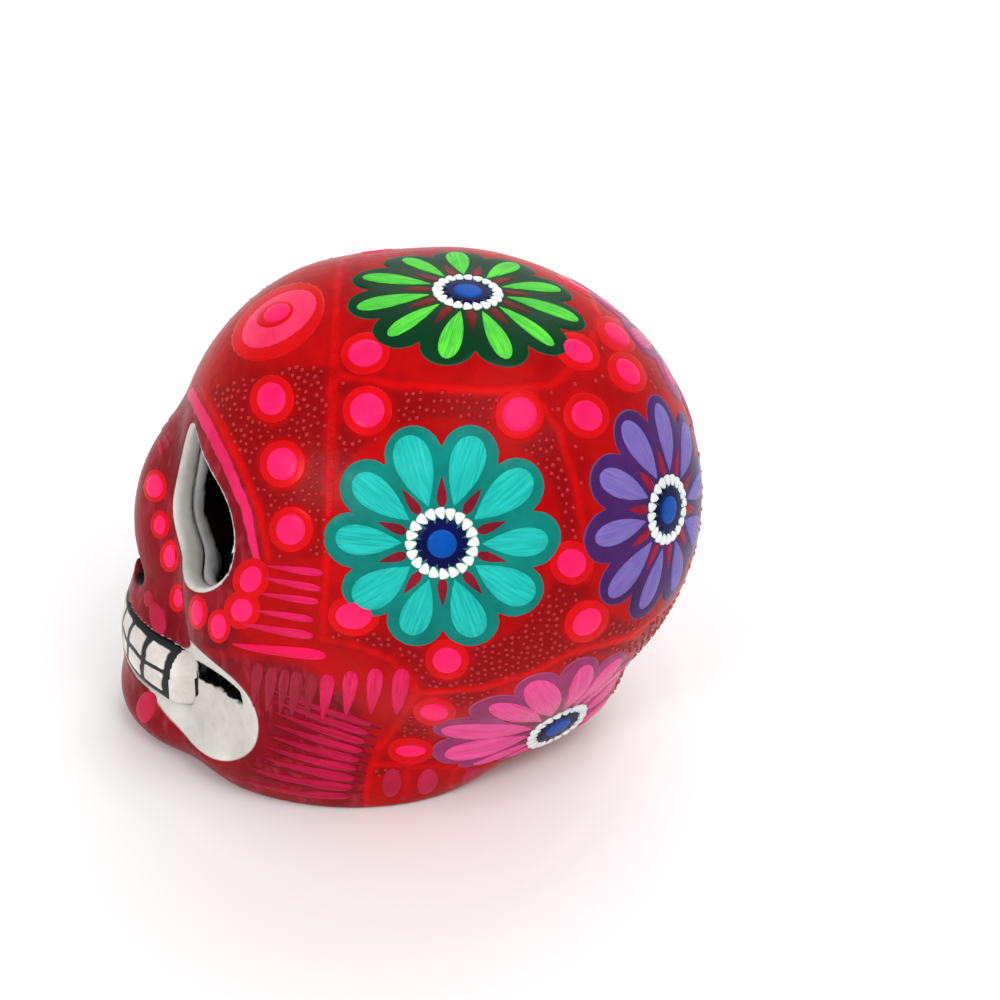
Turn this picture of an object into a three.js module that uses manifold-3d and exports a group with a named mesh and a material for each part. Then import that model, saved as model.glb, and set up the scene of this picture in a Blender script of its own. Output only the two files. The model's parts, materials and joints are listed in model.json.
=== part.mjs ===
// A hollow sugar skull of painted, press-moulded clay, in millimetres with +Z up.
// The face looks along -Y, the skull's own left side is at +X, and the foot rests on Z = 0.
import * as THREE from 'three';
import { mergeVertices } from 'three/addons/utils/BufferGeometryUtils.js';
import Module from 'manifold-3d';

// The fired clay wall, and the fits between pieces
const WALL = 4.5;
const FLOOR = 5;
const SEAT_GAP = 0.3;
const CUT_OVERRUN = 3;

// Cranium, the large egg that the rest of the form blends into
const CRANIUM_HALF_WIDTH = 56;
const CRANIUM_HALF_LENGTH = 61.6;
const CRANIUM_HALF_HEIGHT = 59.5;
const CRANIUM_BACK = 10.1;
const CRANIUM_FOOT = 6.4;
const CRANIUM_RISE = CRANIUM_FOOT + CRANIUM_HALF_HEIGHT;

// Forehead, the steep front of the cranium above the eyes
const FOREHEAD_HALF_WIDTH = 40.6;
const FOREHEAD_HALF_LENGTH = 35.2;
const FOREHEAD_HALF_HEIGHT = 43.2;
const FOREHEAD_FRONT = 15.6;
const FOREHEAD_UNDER_CROWN = 6.4;
const FOREHEAD_RISE = CRANIUM_RISE + CRANIUM_HALF_HEIGHT - FOREHEAD_UNDER_CROWN - FOREHEAD_HALF_HEIGHT;
const FOREHEAD_BLEND = 14;

// Cheek, the upright ridge outside each eye
const CHEEK_HALF_WIDTH = 16;
const CHEEK_HALF_LENGTH = 22.5;
const CHEEK_HALF_HEIGHT = 33;
const CHEEK_SIDE = 27.9;
const CHEEK_FRONT = 27.3;
const CHEEK_RISE = 47.2;
const CHEEK_BLEND = 12;

// Bridge, the upright column of the nose between the eyes
const BRIDGE_HALF_WIDTH = 20.9;
const BRIDGE_HALF_LENGTH = 22.5;
const BRIDGE_HALF_HEIGHT = 37.6;
const BRIDGE_FRONT = 43.2;
const BRIDGE_RISE = 51.9;
const BRIDGE_BLEND = 5;

// Muzzle, the round front that carries the teeth
const MUZZLE_HALF_WIDTH = 25.6;
const MUZZLE_HALF_LENGTH = 25.6;
const MUZZLE_HALF_HEIGHT = 18.4;
const MUZZLE_FRONT = 44.7;
const MUZZLE_RISE = 25.2;
const MUZZLE_BLEND = 12;

// Chin
const CHIN_HALF_WIDTH = 25.8;
const CHIN_HALF_LENGTH = 26.1;
const CHIN_HALF_HEIGHT = 14.5;
const CHIN_FRONT = 45.6;
const CHIN_RISE = 7.3;
const CHIN_BLEND = 12;

// Jaw, the long low side of the face on each side
const JAW_HALF_WIDTH = 15.4;
const JAW_HALF_LENGTH = 34.5;
const JAW_HALF_HEIGHT = 22.7;
const JAW_SIDE = 27.7;
const JAW_FRONT = 13;
const JAW_RISE = 13.1;
const JAW_BLEND = 14;

// Nape, the foot under the back of the cranium
const NAPE_HALF_WIDTH = 30.4;
const NAPE_HALF_LENGTH = 37.7;
const NAPE_HALF_HEIGHT = 18.9;
const NAPE_BACK = 16.8;
const NAPE_RISE = 17.2;
const NAPE_BLEND = 14;

// The point inside the hollow that every part of the form can be seen from
const HEART_BACK = 6;
const HEART_RISE = 50;

// Eye hole: a teardrop whose round end is low and outward and whose tip is high and inward
const EYE_SIDE = 29.7;
const EYE_RISE = 75;
const EYE_RADIUS = 14;
const EYE_TIP_RADIUS = 1.6;
const EYE_TIP_INWARD = 12.3;
const EYE_TIP_UP = 17.2;
const EYE_TURN = THREE.MathUtils.degToRad(32);
const EYE_LIFT = THREE.MathUtils.degToRad(12.5);

// Collar, the strip of clay luted round each eye hole from the inside
const COLLAR_DEPTH = 3;
const COLLAR_WIDTH = 4;

// Nose hole: two drops that lean together, like an upturned heart
const NOSE_RISE = 46.5;
const NOSE_SIDE = 5;
const NOSE_RADIUS = 5;
const NOSE_TIP_RADIUS = 1.5;
const NOSE_TIP_INWARD = 3.6;
const NOSE_TIP_UP = 11;

// Scoop, the hollow beside the teeth on each side, and the slot in its floor
const SCOOP_SIDE = 34.5;
const SCOOP_FRONT = 52.5;
const SCOOP_RISE = 26.7;
const SCOOP_DEPTH = 10.2;
const SCOOP_HALF_LENGTH = 26;
const SCOOP_HALF_HEIGHT = 18.6;
const SCOOP_TURN = THREE.MathUtils.degToRad(51.5);
const SLOT_LENGTH = 17;
const SLOT_HEIGHT = 5.4;
const SLOT_SIDE = 32.5;
const SLOT_FRONT = 42.5;
const SLOT_RISE = 30;

// Tooth block, the curved strip set across the front of the mouth
const TOOTH_THICKNESS = 4;
const TOOTH_HALF_SPAN = 24;
const TOOTH_LOW_MIDDLE = 21;
const TOOTH_LOW_END = 18;
const TOOTH_HIGH_MIDDLE = 35;
const TOOTH_HIGH_END = 34;
const MOUTH_REAR_FRONT = 44;

// Vent, the oval hole in the foot
const VENT_HALF_WIDTH = 17;
const VENT_HALF_LENGTH = 22;
const VENT_FRONT = 8;

// Seam coil, the roll of clay pressed along the joint inside the hollow
const COIL_WIDTH = 9;
const COIL_THICKNESS = 3;

// Fineness of the faceted surfaces and of the search for them
const OUTSIDE_DETAIL = 12;
const INSIDE_DETAIL = 8;
const SCOOP_DETAIL = 6;
const ARC_SEGMENTS = 10;
const VENT_SEGMENTS = 28;
const SEARCH_STEPS = 80;
const SEARCH_HALVINGS = 26;

const wasm = await Module();
wasm.setup();

// Each lobe is an ellipsoid. A paired lobe lies on both sides of X = 0.
const lobe = (side, back, rise, halfWidth, halfLength, halfHeight, blend) => ({
  centre: new THREE.Vector3(side, back, rise),
  half: new THREE.Vector3(halfWidth, halfLength, halfHeight),
  paired: side > 0,
  blend,
});

const lobes = [
  lobe(0, CRANIUM_BACK, CRANIUM_RISE, CRANIUM_HALF_WIDTH, CRANIUM_HALF_LENGTH, CRANIUM_HALF_HEIGHT, 0),
  lobe(
    0, -FOREHEAD_FRONT, FOREHEAD_RISE,
    FOREHEAD_HALF_WIDTH, FOREHEAD_HALF_LENGTH, FOREHEAD_HALF_HEIGHT, FOREHEAD_BLEND,
  ),
  lobe(
    CHEEK_SIDE, -CHEEK_FRONT, CHEEK_RISE,
    CHEEK_HALF_WIDTH, CHEEK_HALF_LENGTH, CHEEK_HALF_HEIGHT, CHEEK_BLEND,
  ),
  lobe(
    0, -BRIDGE_FRONT, BRIDGE_RISE,
    BRIDGE_HALF_WIDTH, BRIDGE_HALF_LENGTH, BRIDGE_HALF_HEIGHT, BRIDGE_BLEND,
  ),
  lobe(
    0, -MUZZLE_FRONT, MUZZLE_RISE,
    MUZZLE_HALF_WIDTH, MUZZLE_HALF_LENGTH, MUZZLE_HALF_HEIGHT, MUZZLE_BLEND,
  ),
  lobe(0, -CHIN_FRONT, CHIN_RISE, CHIN_HALF_WIDTH, CHIN_HALF_LENGTH, CHIN_HALF_HEIGHT, CHIN_BLEND),
  lobe(JAW_SIDE, -JAW_FRONT, JAW_RISE, JAW_HALF_WIDTH, JAW_HALF_LENGTH, JAW_HALF_HEIGHT, JAW_BLEND),
  lobe(0, NAPE_BACK, NAPE_RISE, NAPE_HALF_WIDTH, NAPE_HALF_LENGTH, NAPE_HALF_HEIGHT, NAPE_BLEND),
];

// The farthest that any lobe reaches from the origin, which bounds every search and cut
const REACH = Math.max(...lobes.map(({ centre, half }) => centre.length() + Math.max(...half)));
const heart = new THREE.Vector3(0, HEART_BACK, HEART_RISE);

// Height above one lobe's surface, close to a true distance near it
function lobeLevel(point, { centre, half, paired }) {
  const x = (paired ? Math.abs(point.x) : point.x) - centre.x;
  const y = point.y - centre.y;
  const z = point.z - centre.z;
  const unit = Math.hypot(x / half.x, y / half.y, z / half.z);
  const slope = Math.hypot(x / half.x ** 2, y / half.y ** 2, z / half.z ** 2);
  return slope > 0 ? (unit * (unit - 1)) / slope : -Math.min(...half);
}

// The lower of two levels, rounded off where they are within a blend of each other
function blendLevels(a, b, blend) {
  const share = THREE.MathUtils.clamp((1 + (b - a) / blend) / 2, 0, 1);
  return b * (1 - share) + a * share - blend * share * (1 - share);
}

function skullLevel(point) {
  let level = lobeLevel(point, lobes[0]);
  for (const next of lobes.slice(1)) {
    level = blendLevels(level, lobeLevel(point, next), next.blend);
  }
  return level;
}

// The last place where a ray from a start point leaves the form, a given depth under its skin
function skinPoint(start, direction, depth) {
  const at = (distance) => start.clone().addScaledVector(direction, distance);
  const step = (2 * REACH) / SEARCH_STEPS;
  let outer = 2 * REACH;
  while (outer > step && skullLevel(at(outer - step)) > -depth) {
    outer -= step;
  }
  let inner = outer - step;
  for (let i = 0; i < SEARCH_HALVINGS; i += 1) {
    const middle = (inner + outer) / 2;
    if (skullLevel(at(middle)) > -depth) {
      outer = middle;
    } else {
      inner = middle;
    }
  }
  return at((inner + outer) / 2);
}

function weld(geometry) {
  geometry.deleteAttribute('normal');
  geometry.deleteAttribute('uv');
  return mergeVertices(geometry);
}

function toSolid(geometry) {
  const welded = weld(geometry);
  return new wasm.Manifold(new wasm.Mesh({
    numProp: 3,
    vertProperties: new Float32Array(welded.attributes.position.array),
    triVerts: new Uint32Array(welded.index.array),
  }));
}

function toGeometry(solid) {
  const mesh = solid.getMesh();
  const geometry = new THREE.BufferGeometry();
  geometry.setAttribute('position', new THREE.BufferAttribute(new Float32Array(mesh.vertProperties), 3));
  geometry.setIndex(new THREE.BufferAttribute(new Uint32Array(mesh.triVerts), 1));
  geometry.computeVertexNormals();
  return geometry;
}

// The same shape on the other side of X = 0, with its faces turned to point out again
function mirror(geometry) {
  const copy = weld(geometry.clone());
  const index = copy.index.array;
  copy.scale(-1, 1, 1);
  for (let i = 0; i < index.length; i += 3) {
    [index[i + 1], index[i + 2]] = [index[i + 2], index[i + 1]];
  }
  return copy;
}

const toPair = (geometry) => toSolid(geometry.clone()).add(toSolid(mirror(geometry)));

// The whole form as one closed skin, a given depth under the outside
function formSolid(depth, detail) {
  const geometry = weld(new THREE.IcosahedronGeometry(1, detail));
  const position = geometry.attributes.position;
  const direction = new THREE.Vector3();
  for (let i = 0; i < position.count; i += 1) {
    direction.fromBufferAttribute(position, i).normalize();
    position.setXYZ(i, ...skinPoint(heart, direction, depth));
  }
  return toSolid(geometry);
}

// Everything above a height, behind a plane or in front of it, as a block larger than the form
function blockAbove(rise) {
  return toSolid(new THREE.BoxGeometry(4 * REACH, 4 * REACH, 2 * REACH).translate(0, 0, rise + REACH));
}

function blockBehind(back) {
  return toSolid(new THREE.BoxGeometry(4 * REACH, 2 * REACH, 4 * REACH).translate(0, back + REACH, 0));
}

function blockBefore(back) {
  return toSolid(new THREE.BoxGeometry(4 * REACH, 2 * REACH, 4 * REACH).translate(0, back - REACH, 0));
}

// Outline of a teardrop: two circles and the lines that touch both
function dropShape(radius, tipRadius, tipX, tipY, grow) {
  const lean = Math.atan2(tipY, tipX);
  const spread = Math.acos((radius - tipRadius) / Math.hypot(tipX, tipY));
  const shape = new THREE.Shape();
  shape.absarc(0, 0, radius + grow, lean + spread, lean - spread + 2 * Math.PI, false);
  shape.absarc(tipX, tipY, tipRadius + grow, lean - spread, lean + spread, false);
  return shape;
}

function prism(shape, depth) {
  return new THREE.ExtrudeGeometry(shape, { depth, bevelEnabled: false, curveSegments: ARC_SEGMENTS });
}

// Left eye hole, which runs from inside the hollow out past the face along the eye's own axis
function eyeGeometry(grow) {
  const skin = skinPoint(new THREE.Vector3(EYE_SIDE, 0, EYE_RISE), new THREE.Vector3(0, -1, 0), 0);
  const shape = dropShape(EYE_RADIUS, EYE_TIP_RADIUS, -EYE_TIP_INWARD, EYE_TIP_UP, grow);
  const inside = 2 * (WALL + COLLAR_DEPTH + CUT_OVERRUN);
  const geometry = prism(shape, REACH).translate(0, 0, -inside);
  geometry.rotateX(Math.PI / 2 - EYE_LIFT);
  geometry.rotateZ(EYE_TURN);
  return geometry.translate(skin.x, skin.y, skin.z);
}

// Left half of the nose hole
function noseGeometry() {
  const shape = dropShape(NOSE_RADIUS, NOSE_TIP_RADIUS, -NOSE_TIP_INWARD, NOSE_TIP_UP, 0);
  return prism(shape, REACH).rotateX(Math.PI / 2).translate(NOSE_SIDE, -BRIDGE_FRONT, NOSE_RISE);
}

// The mouth across the front, seen from the front, as the tooth block fills it
function mouthGeometry(grow) {
  const span = TOOTH_HALF_SPAN + grow;
  const lowEnd = TOOTH_LOW_END - grow;
  const highEnd = TOOTH_HIGH_END + grow;
  const shape = new THREE.Shape();
  shape.moveTo(-span, lowEnd);
  shape.quadraticCurveTo(0, 2 * (TOOTH_LOW_MIDDLE - grow) - lowEnd, span, lowEnd);
  shape.lineTo(span, highEnd);
  shape.quadraticCurveTo(0, 2 * (TOOTH_HIGH_MIDDLE + grow) - highEnd, -span, highEnd);
  return prism(shape, REACH).rotateX(Math.PI / 2).translate(0, grow - MOUTH_REAR_FRONT, 0);
}

// Left scoop beside the teeth
function scoopGeometry(grow) {
  const geometry = new THREE.IcosahedronGeometry(1, SCOOP_DETAIL);
  geometry.scale(SCOOP_HALF_LENGTH + grow, SCOOP_DEPTH + grow, SCOOP_HALF_HEIGHT + grow);
  return geometry.rotateZ(SCOOP_TURN).translate(SCOOP_SIDE, -SCOOP_FRONT, SCOOP_RISE);
}

// Left slot through the floor of the scoop
function slotGeometry() {
  const through = 2 * (SCOOP_DEPTH + WALL);
  const geometry = new THREE.BoxGeometry(SLOT_LENGTH, through, SLOT_HEIGHT);
  return geometry.rotateZ(SCOOP_TURN).translate(SLOT_SIDE, -SLOT_FRONT, SLOT_RISE);
}

function ventGeometry() {
  const geometry = new THREE.CylinderGeometry(1, 1, 1, VENT_SEGMENTS).rotateX(Math.PI / 2);
  geometry.scale(VENT_HALF_WIDTH, VENT_HALF_LENGTH, 2 * (FLOOR + CUT_OVERRUN));
  return geometry.translate(0, -VENT_FRONT, 0);
}

// The shell, whole: outside less hollow, with every hole cut
const outside = formSolid(0, OUTSIDE_DETAIL).intersect(blockAbove(0));
const hollow = formSolid(WALL, INSIDE_DETAIL)
  .intersect(blockAbove(FLOOR))
  .subtract(toPair(scoopGeometry(WALL)));
const shell = outside
  .subtract(toPair(scoopGeometry(0)))
  .subtract(hollow)
  .subtract(toPair(slotGeometry()))
  .subtract(toPair(eyeGeometry(0)))
  .subtract(toPair(noseGeometry()))
  .subtract(toSolid(mouthGeometry(SEAT_GAP)))
  .subtract(toSolid(ventGeometry()));

// The two moulded halves meet at the widest section of the cranium
const faceHalf = shell.intersect(blockBefore(CRANIUM_BACK));
const backHalf = shell.intersect(blockBehind(CRANIUM_BACK));

// The tooth block fills the mouth and follows the outside of the muzzle
const toothBlock = outside
  .intersect(toSolid(mouthGeometry(0)))
  .subtract(formSolid(TOOTH_THICKNESS, INSIDE_DETAIL));

// Collars and seam coil are layers just inside the shell
const innerSkin = formSolid(WALL + SEAT_GAP, INSIDE_DETAIL);
const collarLayer = innerSkin.subtract(formSolid(WALL + SEAT_GAP + COLLAR_DEPTH, INSIDE_DETAIL));
const coilLayer = innerSkin.subtract(formSolid(WALL + SEAT_GAP + COIL_THICKNESS, INSIDE_DETAIL));
const collarOf = (side) => collarLayer
  .intersect(toSolid(side(eyeGeometry(COLLAR_WIDTH))))
  .subtract(toSolid(side(eyeGeometry(0))));
const seamCoil = coilLayer
  .intersect(blockBehind(CRANIUM_BACK - COIL_WIDTH / 2))
  .intersect(blockBefore(CRANIUM_BACK + COIL_WIDTH / 2))
  .intersect(blockAbove(FLOOR + SEAT_GAP));

const redGlaze = { color: 0xa31210, roughness: 0.25, metalness: 0 };
const whitePaint = { color: 0xd8d6d0, roughness: 0.35, metalness: 0 };
const bareClay = { color: 0x7a3f2a, roughness: 0.9, metalness: 0 };

const skull = new THREE.Group();

function addPiece(name, solid, finish) {
  const piece = new THREE.Mesh(toGeometry(solid), new THREE.MeshStandardMaterial(finish));
  piece.name = name;
  skull.add(piece);
}

addPiece('face_half', faceHalf, redGlaze);
addPiece('back_half', backHalf, redGlaze);
addPiece('tooth_block', toothBlock, whitePaint);
addPiece('eye_collar_left', collarOf((geometry) => geometry), whitePaint);
addPiece('eye_collar_right', collarOf(mirror), whitePaint);
addPiece('seam_coil', seamCoil, bareClay);

export default skull;
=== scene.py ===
"""A hollow, hand-painted clay sugar skull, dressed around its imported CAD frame.

The form is worked out in millimetres and every finished mesh is in metres. The face looks
along -Y, the skull's own left side is at +X, and the foot rests on Z = 0. What the photograph
shows is placed by its pixels, in a frame of 1000 by 1000.
"""

import json
import logging
import math
from collections.abc import Callable, Sequence
from dataclasses import dataclass, field, replace
from enum import Enum
from functools import cache

import bpy
import numpy as np
from mathutils import Matrix, Vector

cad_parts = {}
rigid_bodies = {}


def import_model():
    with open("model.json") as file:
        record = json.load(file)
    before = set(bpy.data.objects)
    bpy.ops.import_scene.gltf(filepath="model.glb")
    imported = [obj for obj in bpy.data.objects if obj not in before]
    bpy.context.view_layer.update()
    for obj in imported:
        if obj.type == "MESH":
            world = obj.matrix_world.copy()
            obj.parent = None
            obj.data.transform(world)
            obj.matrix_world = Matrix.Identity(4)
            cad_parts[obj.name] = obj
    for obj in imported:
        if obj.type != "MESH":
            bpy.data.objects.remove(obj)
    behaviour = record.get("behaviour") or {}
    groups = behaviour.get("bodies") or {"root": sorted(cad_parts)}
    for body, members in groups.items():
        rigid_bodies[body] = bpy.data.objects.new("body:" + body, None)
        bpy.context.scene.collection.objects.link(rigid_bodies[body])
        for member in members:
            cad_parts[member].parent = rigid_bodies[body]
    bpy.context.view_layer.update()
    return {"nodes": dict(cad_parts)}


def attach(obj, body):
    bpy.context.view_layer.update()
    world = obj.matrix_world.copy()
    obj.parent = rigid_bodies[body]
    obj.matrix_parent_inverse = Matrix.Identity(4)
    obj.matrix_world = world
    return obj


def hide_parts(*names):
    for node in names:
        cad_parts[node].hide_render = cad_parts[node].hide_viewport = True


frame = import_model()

LOG = logging.getLogger("sugar_skull")
STAMP = "stamp_"
SEED = 7
MM = 0.001
TINY = 1e-9
FAR = 99.0
CHUNK = 40
SCREEN_WHITE = 255
SCREEN_TOE = 0.04045
SCREEN_SLOPE = 12.92
SCREEN_LIFT = 0.055
SCREEN_POWER = 2.4

Array = np.ndarray
Level = Callable[[Array], Array]
Colour = tuple[int, int, int]
Pair = tuple[float, float]
Triple = tuple[float, float, float]
Ellipse = tuple[float, float, float, float, float]
Stroke = tuple[Pair, Pair, float]
Piece = bpy.types.Object
Socket = bpy.types.NodeSocket


class Slot(Enum):
    """The names of the record's material slots."""

    RED = "red_gloss"
    WHITE = "white_gloss"
    PINK = "pink_paint"
    TURQUOISE = "turquoise_paint"
    GREEN = "green_paint"
    PURPLE = "purple_paint"
    BLUE = "blue_paint"


def paint(colour: Colour) -> tuple[float, float, float, float]:
    """Turns a paint's screen colour into the linear colour that a shader takes.

    Args:
        colour: Red, green and blue, 0 to 255.

    Returns:
        The linear colour with full alpha.
    """
    linear = []
    for value in colour:
        share = value / SCREEN_WHITE
        curved = ((share + SCREEN_LIFT) / (1 + SCREEN_LIFT)) ** SCREEN_POWER
        linear.append(share / SCREEN_SLOPE if share <= SCREEN_TOE else curved)
    return (*linear, 1.0)


def blend_low(a: Array, b: Array, blend: float) -> Array:
    """The lower of two levels, rounded off where they are within a blend of each other."""
    share = np.clip((1 + (b - a) / blend) / 2, 0, 1)
    return b * (1 - share) + a * share - blend * share * (1 - share)


def blend_high(a: Array, b: Array, blend: float) -> Array:
    """The higher of two levels, rounded off where they are within a blend of each other."""
    return -blend_low(-a, -b, blend)


def smooth_step(value: Array, low: float, high: float) -> Array:
    """Rises gently from 0 to 1 between two values."""
    share = np.clip((value - low) / (high - low), 0, 1)
    return share * share * (3 - 2 * share)


def one_side(points: Array) -> Array:
    """The same places, with those on the skull's right brought over to its left."""
    return np.column_stack([np.abs(points[:, 0]), points[:, 1:]])


def other_side(points: Array) -> Array:
    """The same places or directions, mirrored to the other side of the skull."""
    return points * np.array([-1.0, 1.0, 1.0])


@dataclass(frozen=True)
class Lobe:
    """One ellipsoid of the skull's form, in millimetres. A lobe off the middle is on both sides."""

    centre: Triple
    half: Triple
    blend: float

    def level(self, points: Array) -> Array:
        """Height of points above the lobe, close to a true distance near it.

        Args:
            points: Places in millimetres.

        Returns:
            Each one's level, below zero inside the lobe.
        """
        place = one_side(points) if self.centre[0] > 0 else points
        place = (place - self.centre) / self.half
        unit = np.linalg.norm(place, axis=1)
        slope = np.linalg.norm(place / self.half, axis=1)
        return unit * (unit - 1) / np.maximum(slope, TINY)


@dataclass(frozen=True)
class Drop:
    """A teardrop outline: a large circle at the origin, a small one at the tip, and a hull."""

    radius: float
    tip_radius: float
    tip: Pair

    def level(self, across: Array, up: Array) -> Array:
        """Distance of flat points from the outline.

        Args:
            across: How far each point lies to the side of the large circle's middle.
            up: How far each point lies above it.

        Returns:
            The distances, below zero inside the outline.
        """
        reach = math.hypot(*self.tip)
        axis = (self.tip[0] / reach, self.tip[1] / reach)
        side = np.abs(across * axis[1] - up * axis[0])
        along = across * axis[0] + up * axis[1]
        lean = (self.radius - self.tip_radius) / reach
        rise = math.sqrt(1 - lean * lean)
        where = along * rise - side * lean
        round_end = np.hypot(side, along) - self.radius
        tip_end = np.hypot(side, along - reach) - self.tip_radius
        flank = side * rise + along * lean - self.radius
        return np.where(where < 0, round_end, np.where(where > reach * rise, tip_end, flank))


@dataclass
class SkullForm:
    """The skull's form in millimetres, as levels that are below zero inside the clay."""

    wall: float = 4.5
    floor: float = 5.0
    seat_gap: float = 0.3
    rim_round: float = 1.5
    edge_round: float = 0.8
    corner_round: float = 1.0
    collar_round: float = 1.2
    hollow_round: float = 2.0
    paint_room: float = 0.35
    heart: Triple = (0.0, 6.0, 50.0)
    reach: float = 150.0
    march_rounds: int = 90
    march_share: float = 0.7
    march_most: float = 1800.0
    slope_step: float = 0.05
    lobes: tuple[Lobe, ...] = (
        Lobe((0, 10.1, 65.9), (56, 61.6, 59.5), 0),
        Lobe((0, -15.6, 75.8), (40.6, 35.2, 43.2), 14),
        Lobe((27.9, -27.3, 47.2), (16, 22.5, 33), 12),
        Lobe((0, -43.2, 51.9), (20.9, 22.5, 37.6), 5),
        Lobe((0, -44.7, 25.2), (25.6, 25.6, 18.4), 12),
        Lobe((0, -45.6, 7.3), (25.8, 26.1, 14.5), 12),
        Lobe((27.7, -13, 13.1), (15.4, 34.5, 22.7), 14),
        Lobe((0, 16.8, 17.2), (30.4, 37.7, 18.9), 14),
    )
    wave_size: float = 11.0
    broad_waves: tuple[Triple, ...] = ((1.3, 0, 0.7), (-0.4, 1.1, 0), (0, 0.5, 1.2))
    fine_waves: tuple[Triple, ...] = ((3.1, 1, 0), (-1, 0, 2.7), (0, 2.9, 1))
    broad_height: float = 0.2
    fine_height: float = 0.06
    eye_drop: Drop = Drop(14, 1.6, (-12.3, 17.2))
    eye_side: float = 29.7
    eye_rise: float = 75.0
    eye_turn: float = math.radians(32)
    eye_lift: float = math.radians(12.5)
    eye_rear: float = 18.0
    collar_depth: float = 3.0
    collar_width: float = 4.0
    collar_ragged: Pair = (0.15, 0.1)
    collar_waves: Pair = (0.9, 2.1)
    nose_drop: Drop = Drop(5, 1.5, (-3.6, 11))
    nose_side: float = 5.0
    nose_rise: float = 46.5
    nose_front: float = 43.2
    scoop: Lobe = Lobe((0, 0, 0), (26, 10.2, 18.6), 0)
    scoop_centre: Triple = (34.5, -52.5, 26.7)
    scoop_turn: float = math.radians(51.5)
    slot_half: Triple = (8.5, 14.7, 2.7)
    slot_centre: Triple = (32.5, -42.5, 30.0)
    slot_shorter: float = 0.8
    slot_taper: float = 0.05
    slot_ragged: Pair = (0.25, 0.2)
    slot_waves: Pair = (2.1, 4.7)
    tooth_thickness: float = 4.0
    tooth_span: float = 24.0
    tooth_low: Pair = (21.0, 18.0)
    tooth_high: Pair = (35.0, 34.0)
    mouth_rear: float = 44.0
    vent_half: Pair = (17.0, 22.0)
    vent_front: float = 8.0
    vent_top: float = 10.0
    eye_skin: Array = field(init=False)
    eye_axes: Array = field(init=False)

    def __post_init__(self) -> None:
        """Finds the eye's place on the skin and its own three axes."""
        turn, lift = self.eye_turn, self.eye_lift
        self.eye_axes = np.array([
            [math.cos(turn), math.sin(turn), 0],
            [-math.sin(turn) * math.sin(lift), math.cos(turn) * math.sin(lift), math.cos(lift)],
            [math.sin(turn) * math.cos(lift), -math.cos(turn) * math.cos(lift), math.sin(lift)],
        ])
        start = np.array([[self.eye_side, -self.reach, self.eye_rise]])
        self.eye_skin = self.march(start, np.array([[0.0, 1.0, 0.0]]))[0]

    def skin(self, points: Array) -> Array:
        """Level of the smooth outside, before any hole is cut.

        Args:
            points: Places in millimetres, as in every method below.

        Returns:
            Each one's level, below zero inside, as in every method below.
        """
        total = self.lobes[0].level(points)
        for lobe in self.lobes[1:]:
            total = blend_low(total, lobe.level(points), lobe.blend)
        return total

    def pinched(self, points: Array) -> Array:
        """Level of the outside with the small unevenness of hand-pressed clay.

        Args:
            points: Places in millimetres.

        Returns:
            The level of each.
        """
        place = points / self.wave_size
        broad = np.sin(place @ np.array(self.broad_waves).T).prod(axis=1)
        fine = np.sin(place @ np.array(self.fine_waves).T).prod(axis=1)
        return self.skin(points) + self.paint_room + self.broad_height * broad + self.fine_height * fine

    def slope(self, level: Level, points: Array) -> Array:
        """Gradient of a level, by central differences.

        Args:
            level: The level.
            points: Where its gradient is wanted.

        Returns:
            One vector for each point.
        """
        columns = []
        for shift in np.eye(3) * self.slope_step:
            columns.append((level(points + shift) - level(points - shift)) / (2 * self.slope_step))
        return np.stack(columns, axis=1)

    def march(self, start: Array, direction: Array) -> Array:
        """Follows rays from outside to where they first meet the skin.

        Args:
            start: Where each ray starts.
            direction: Its unit direction.

        Returns:
            The places on the skin.
        """
        distance = np.zeros(len(start))
        for _ in range(self.march_rounds):
            height = self.skin(start + direction * distance[:, None])
            distance = np.minimum(distance + self.march_share * height, self.march_most)
        return start + direction * distance[:, None]

    def normal(self, points: Array) -> Array:
        """Outward unit normal of the skin at points."""
        slope = self.slope(self.skin, points)
        return slope / np.linalg.norm(slope, axis=1, keepdims=True)

    def eye(self, points: Array) -> Array:
        """Distance from the eye's teardrop, seen along the eye's own axis, on either side."""
        across, up, _ = ((one_side(points) - self.eye_skin) @ self.eye_axes.T).T
        return self.eye_drop.level(across, up)

    def nose(self, points: Array) -> Array:
        """Distance from the nose hole, two drops that lean together.

        Args:
            points: Places in millimetres.

        Returns:
            The level of each.
        """
        across = np.abs(points[:, 0]) - self.nose_side
        drop = self.nose_drop.level(across, points[:, 2] - self.nose_rise)
        return np.maximum(drop, points[:, 1] + self.nose_front)

    def lips(self, across: Array) -> tuple[Array, Array]:
        """Heights of the mouth's two edges.

        Args:
            across: How far from the skull's middle the heights are wanted.

        Returns:
            The lower edge's heights and the upper edge's.
        """
        share = (across / self.tooth_span) ** 2
        low, high = self.tooth_low, self.tooth_high
        return low[0] + (low[1] - low[0]) * share, high[0] + (high[1] - high[0]) * share

    def mouth(self, points: Array, grow: float) -> Array:
        """Distance from the opening that the tooth block fills.

        Args:
            points: Places in millimetres.
            grow: How much larger the opening is than the block.

        Returns:
            The level of each.
        """
        low, high = self.lips(points[:, 0])
        height = np.maximum(low - points[:, 2], points[:, 2] - high)
        flat = np.maximum(height, np.abs(points[:, 0]) - self.tooth_span) - grow
        return np.maximum(flat, points[:, 1] + self.mouth_rear - grow)

    def beside(self, points: Array, centre: Triple) -> Array:
        """Points in the axes of the scoop beside the teeth, on either side.

        Args:
            points: Places in millimetres.
            centre: Where those axes start.

        Returns:
            Each one's place along the scoop, off it and up.
        """
        place = one_side(points) - centre
        cos, sin = math.cos(self.scoop_turn), math.sin(self.scoop_turn)
        along = place[:, 0] * cos + place[:, 1] * sin
        off = place[:, 1] * cos - place[:, 0] * sin
        return np.stack([along, off, place[:, 2]], 1)

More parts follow.
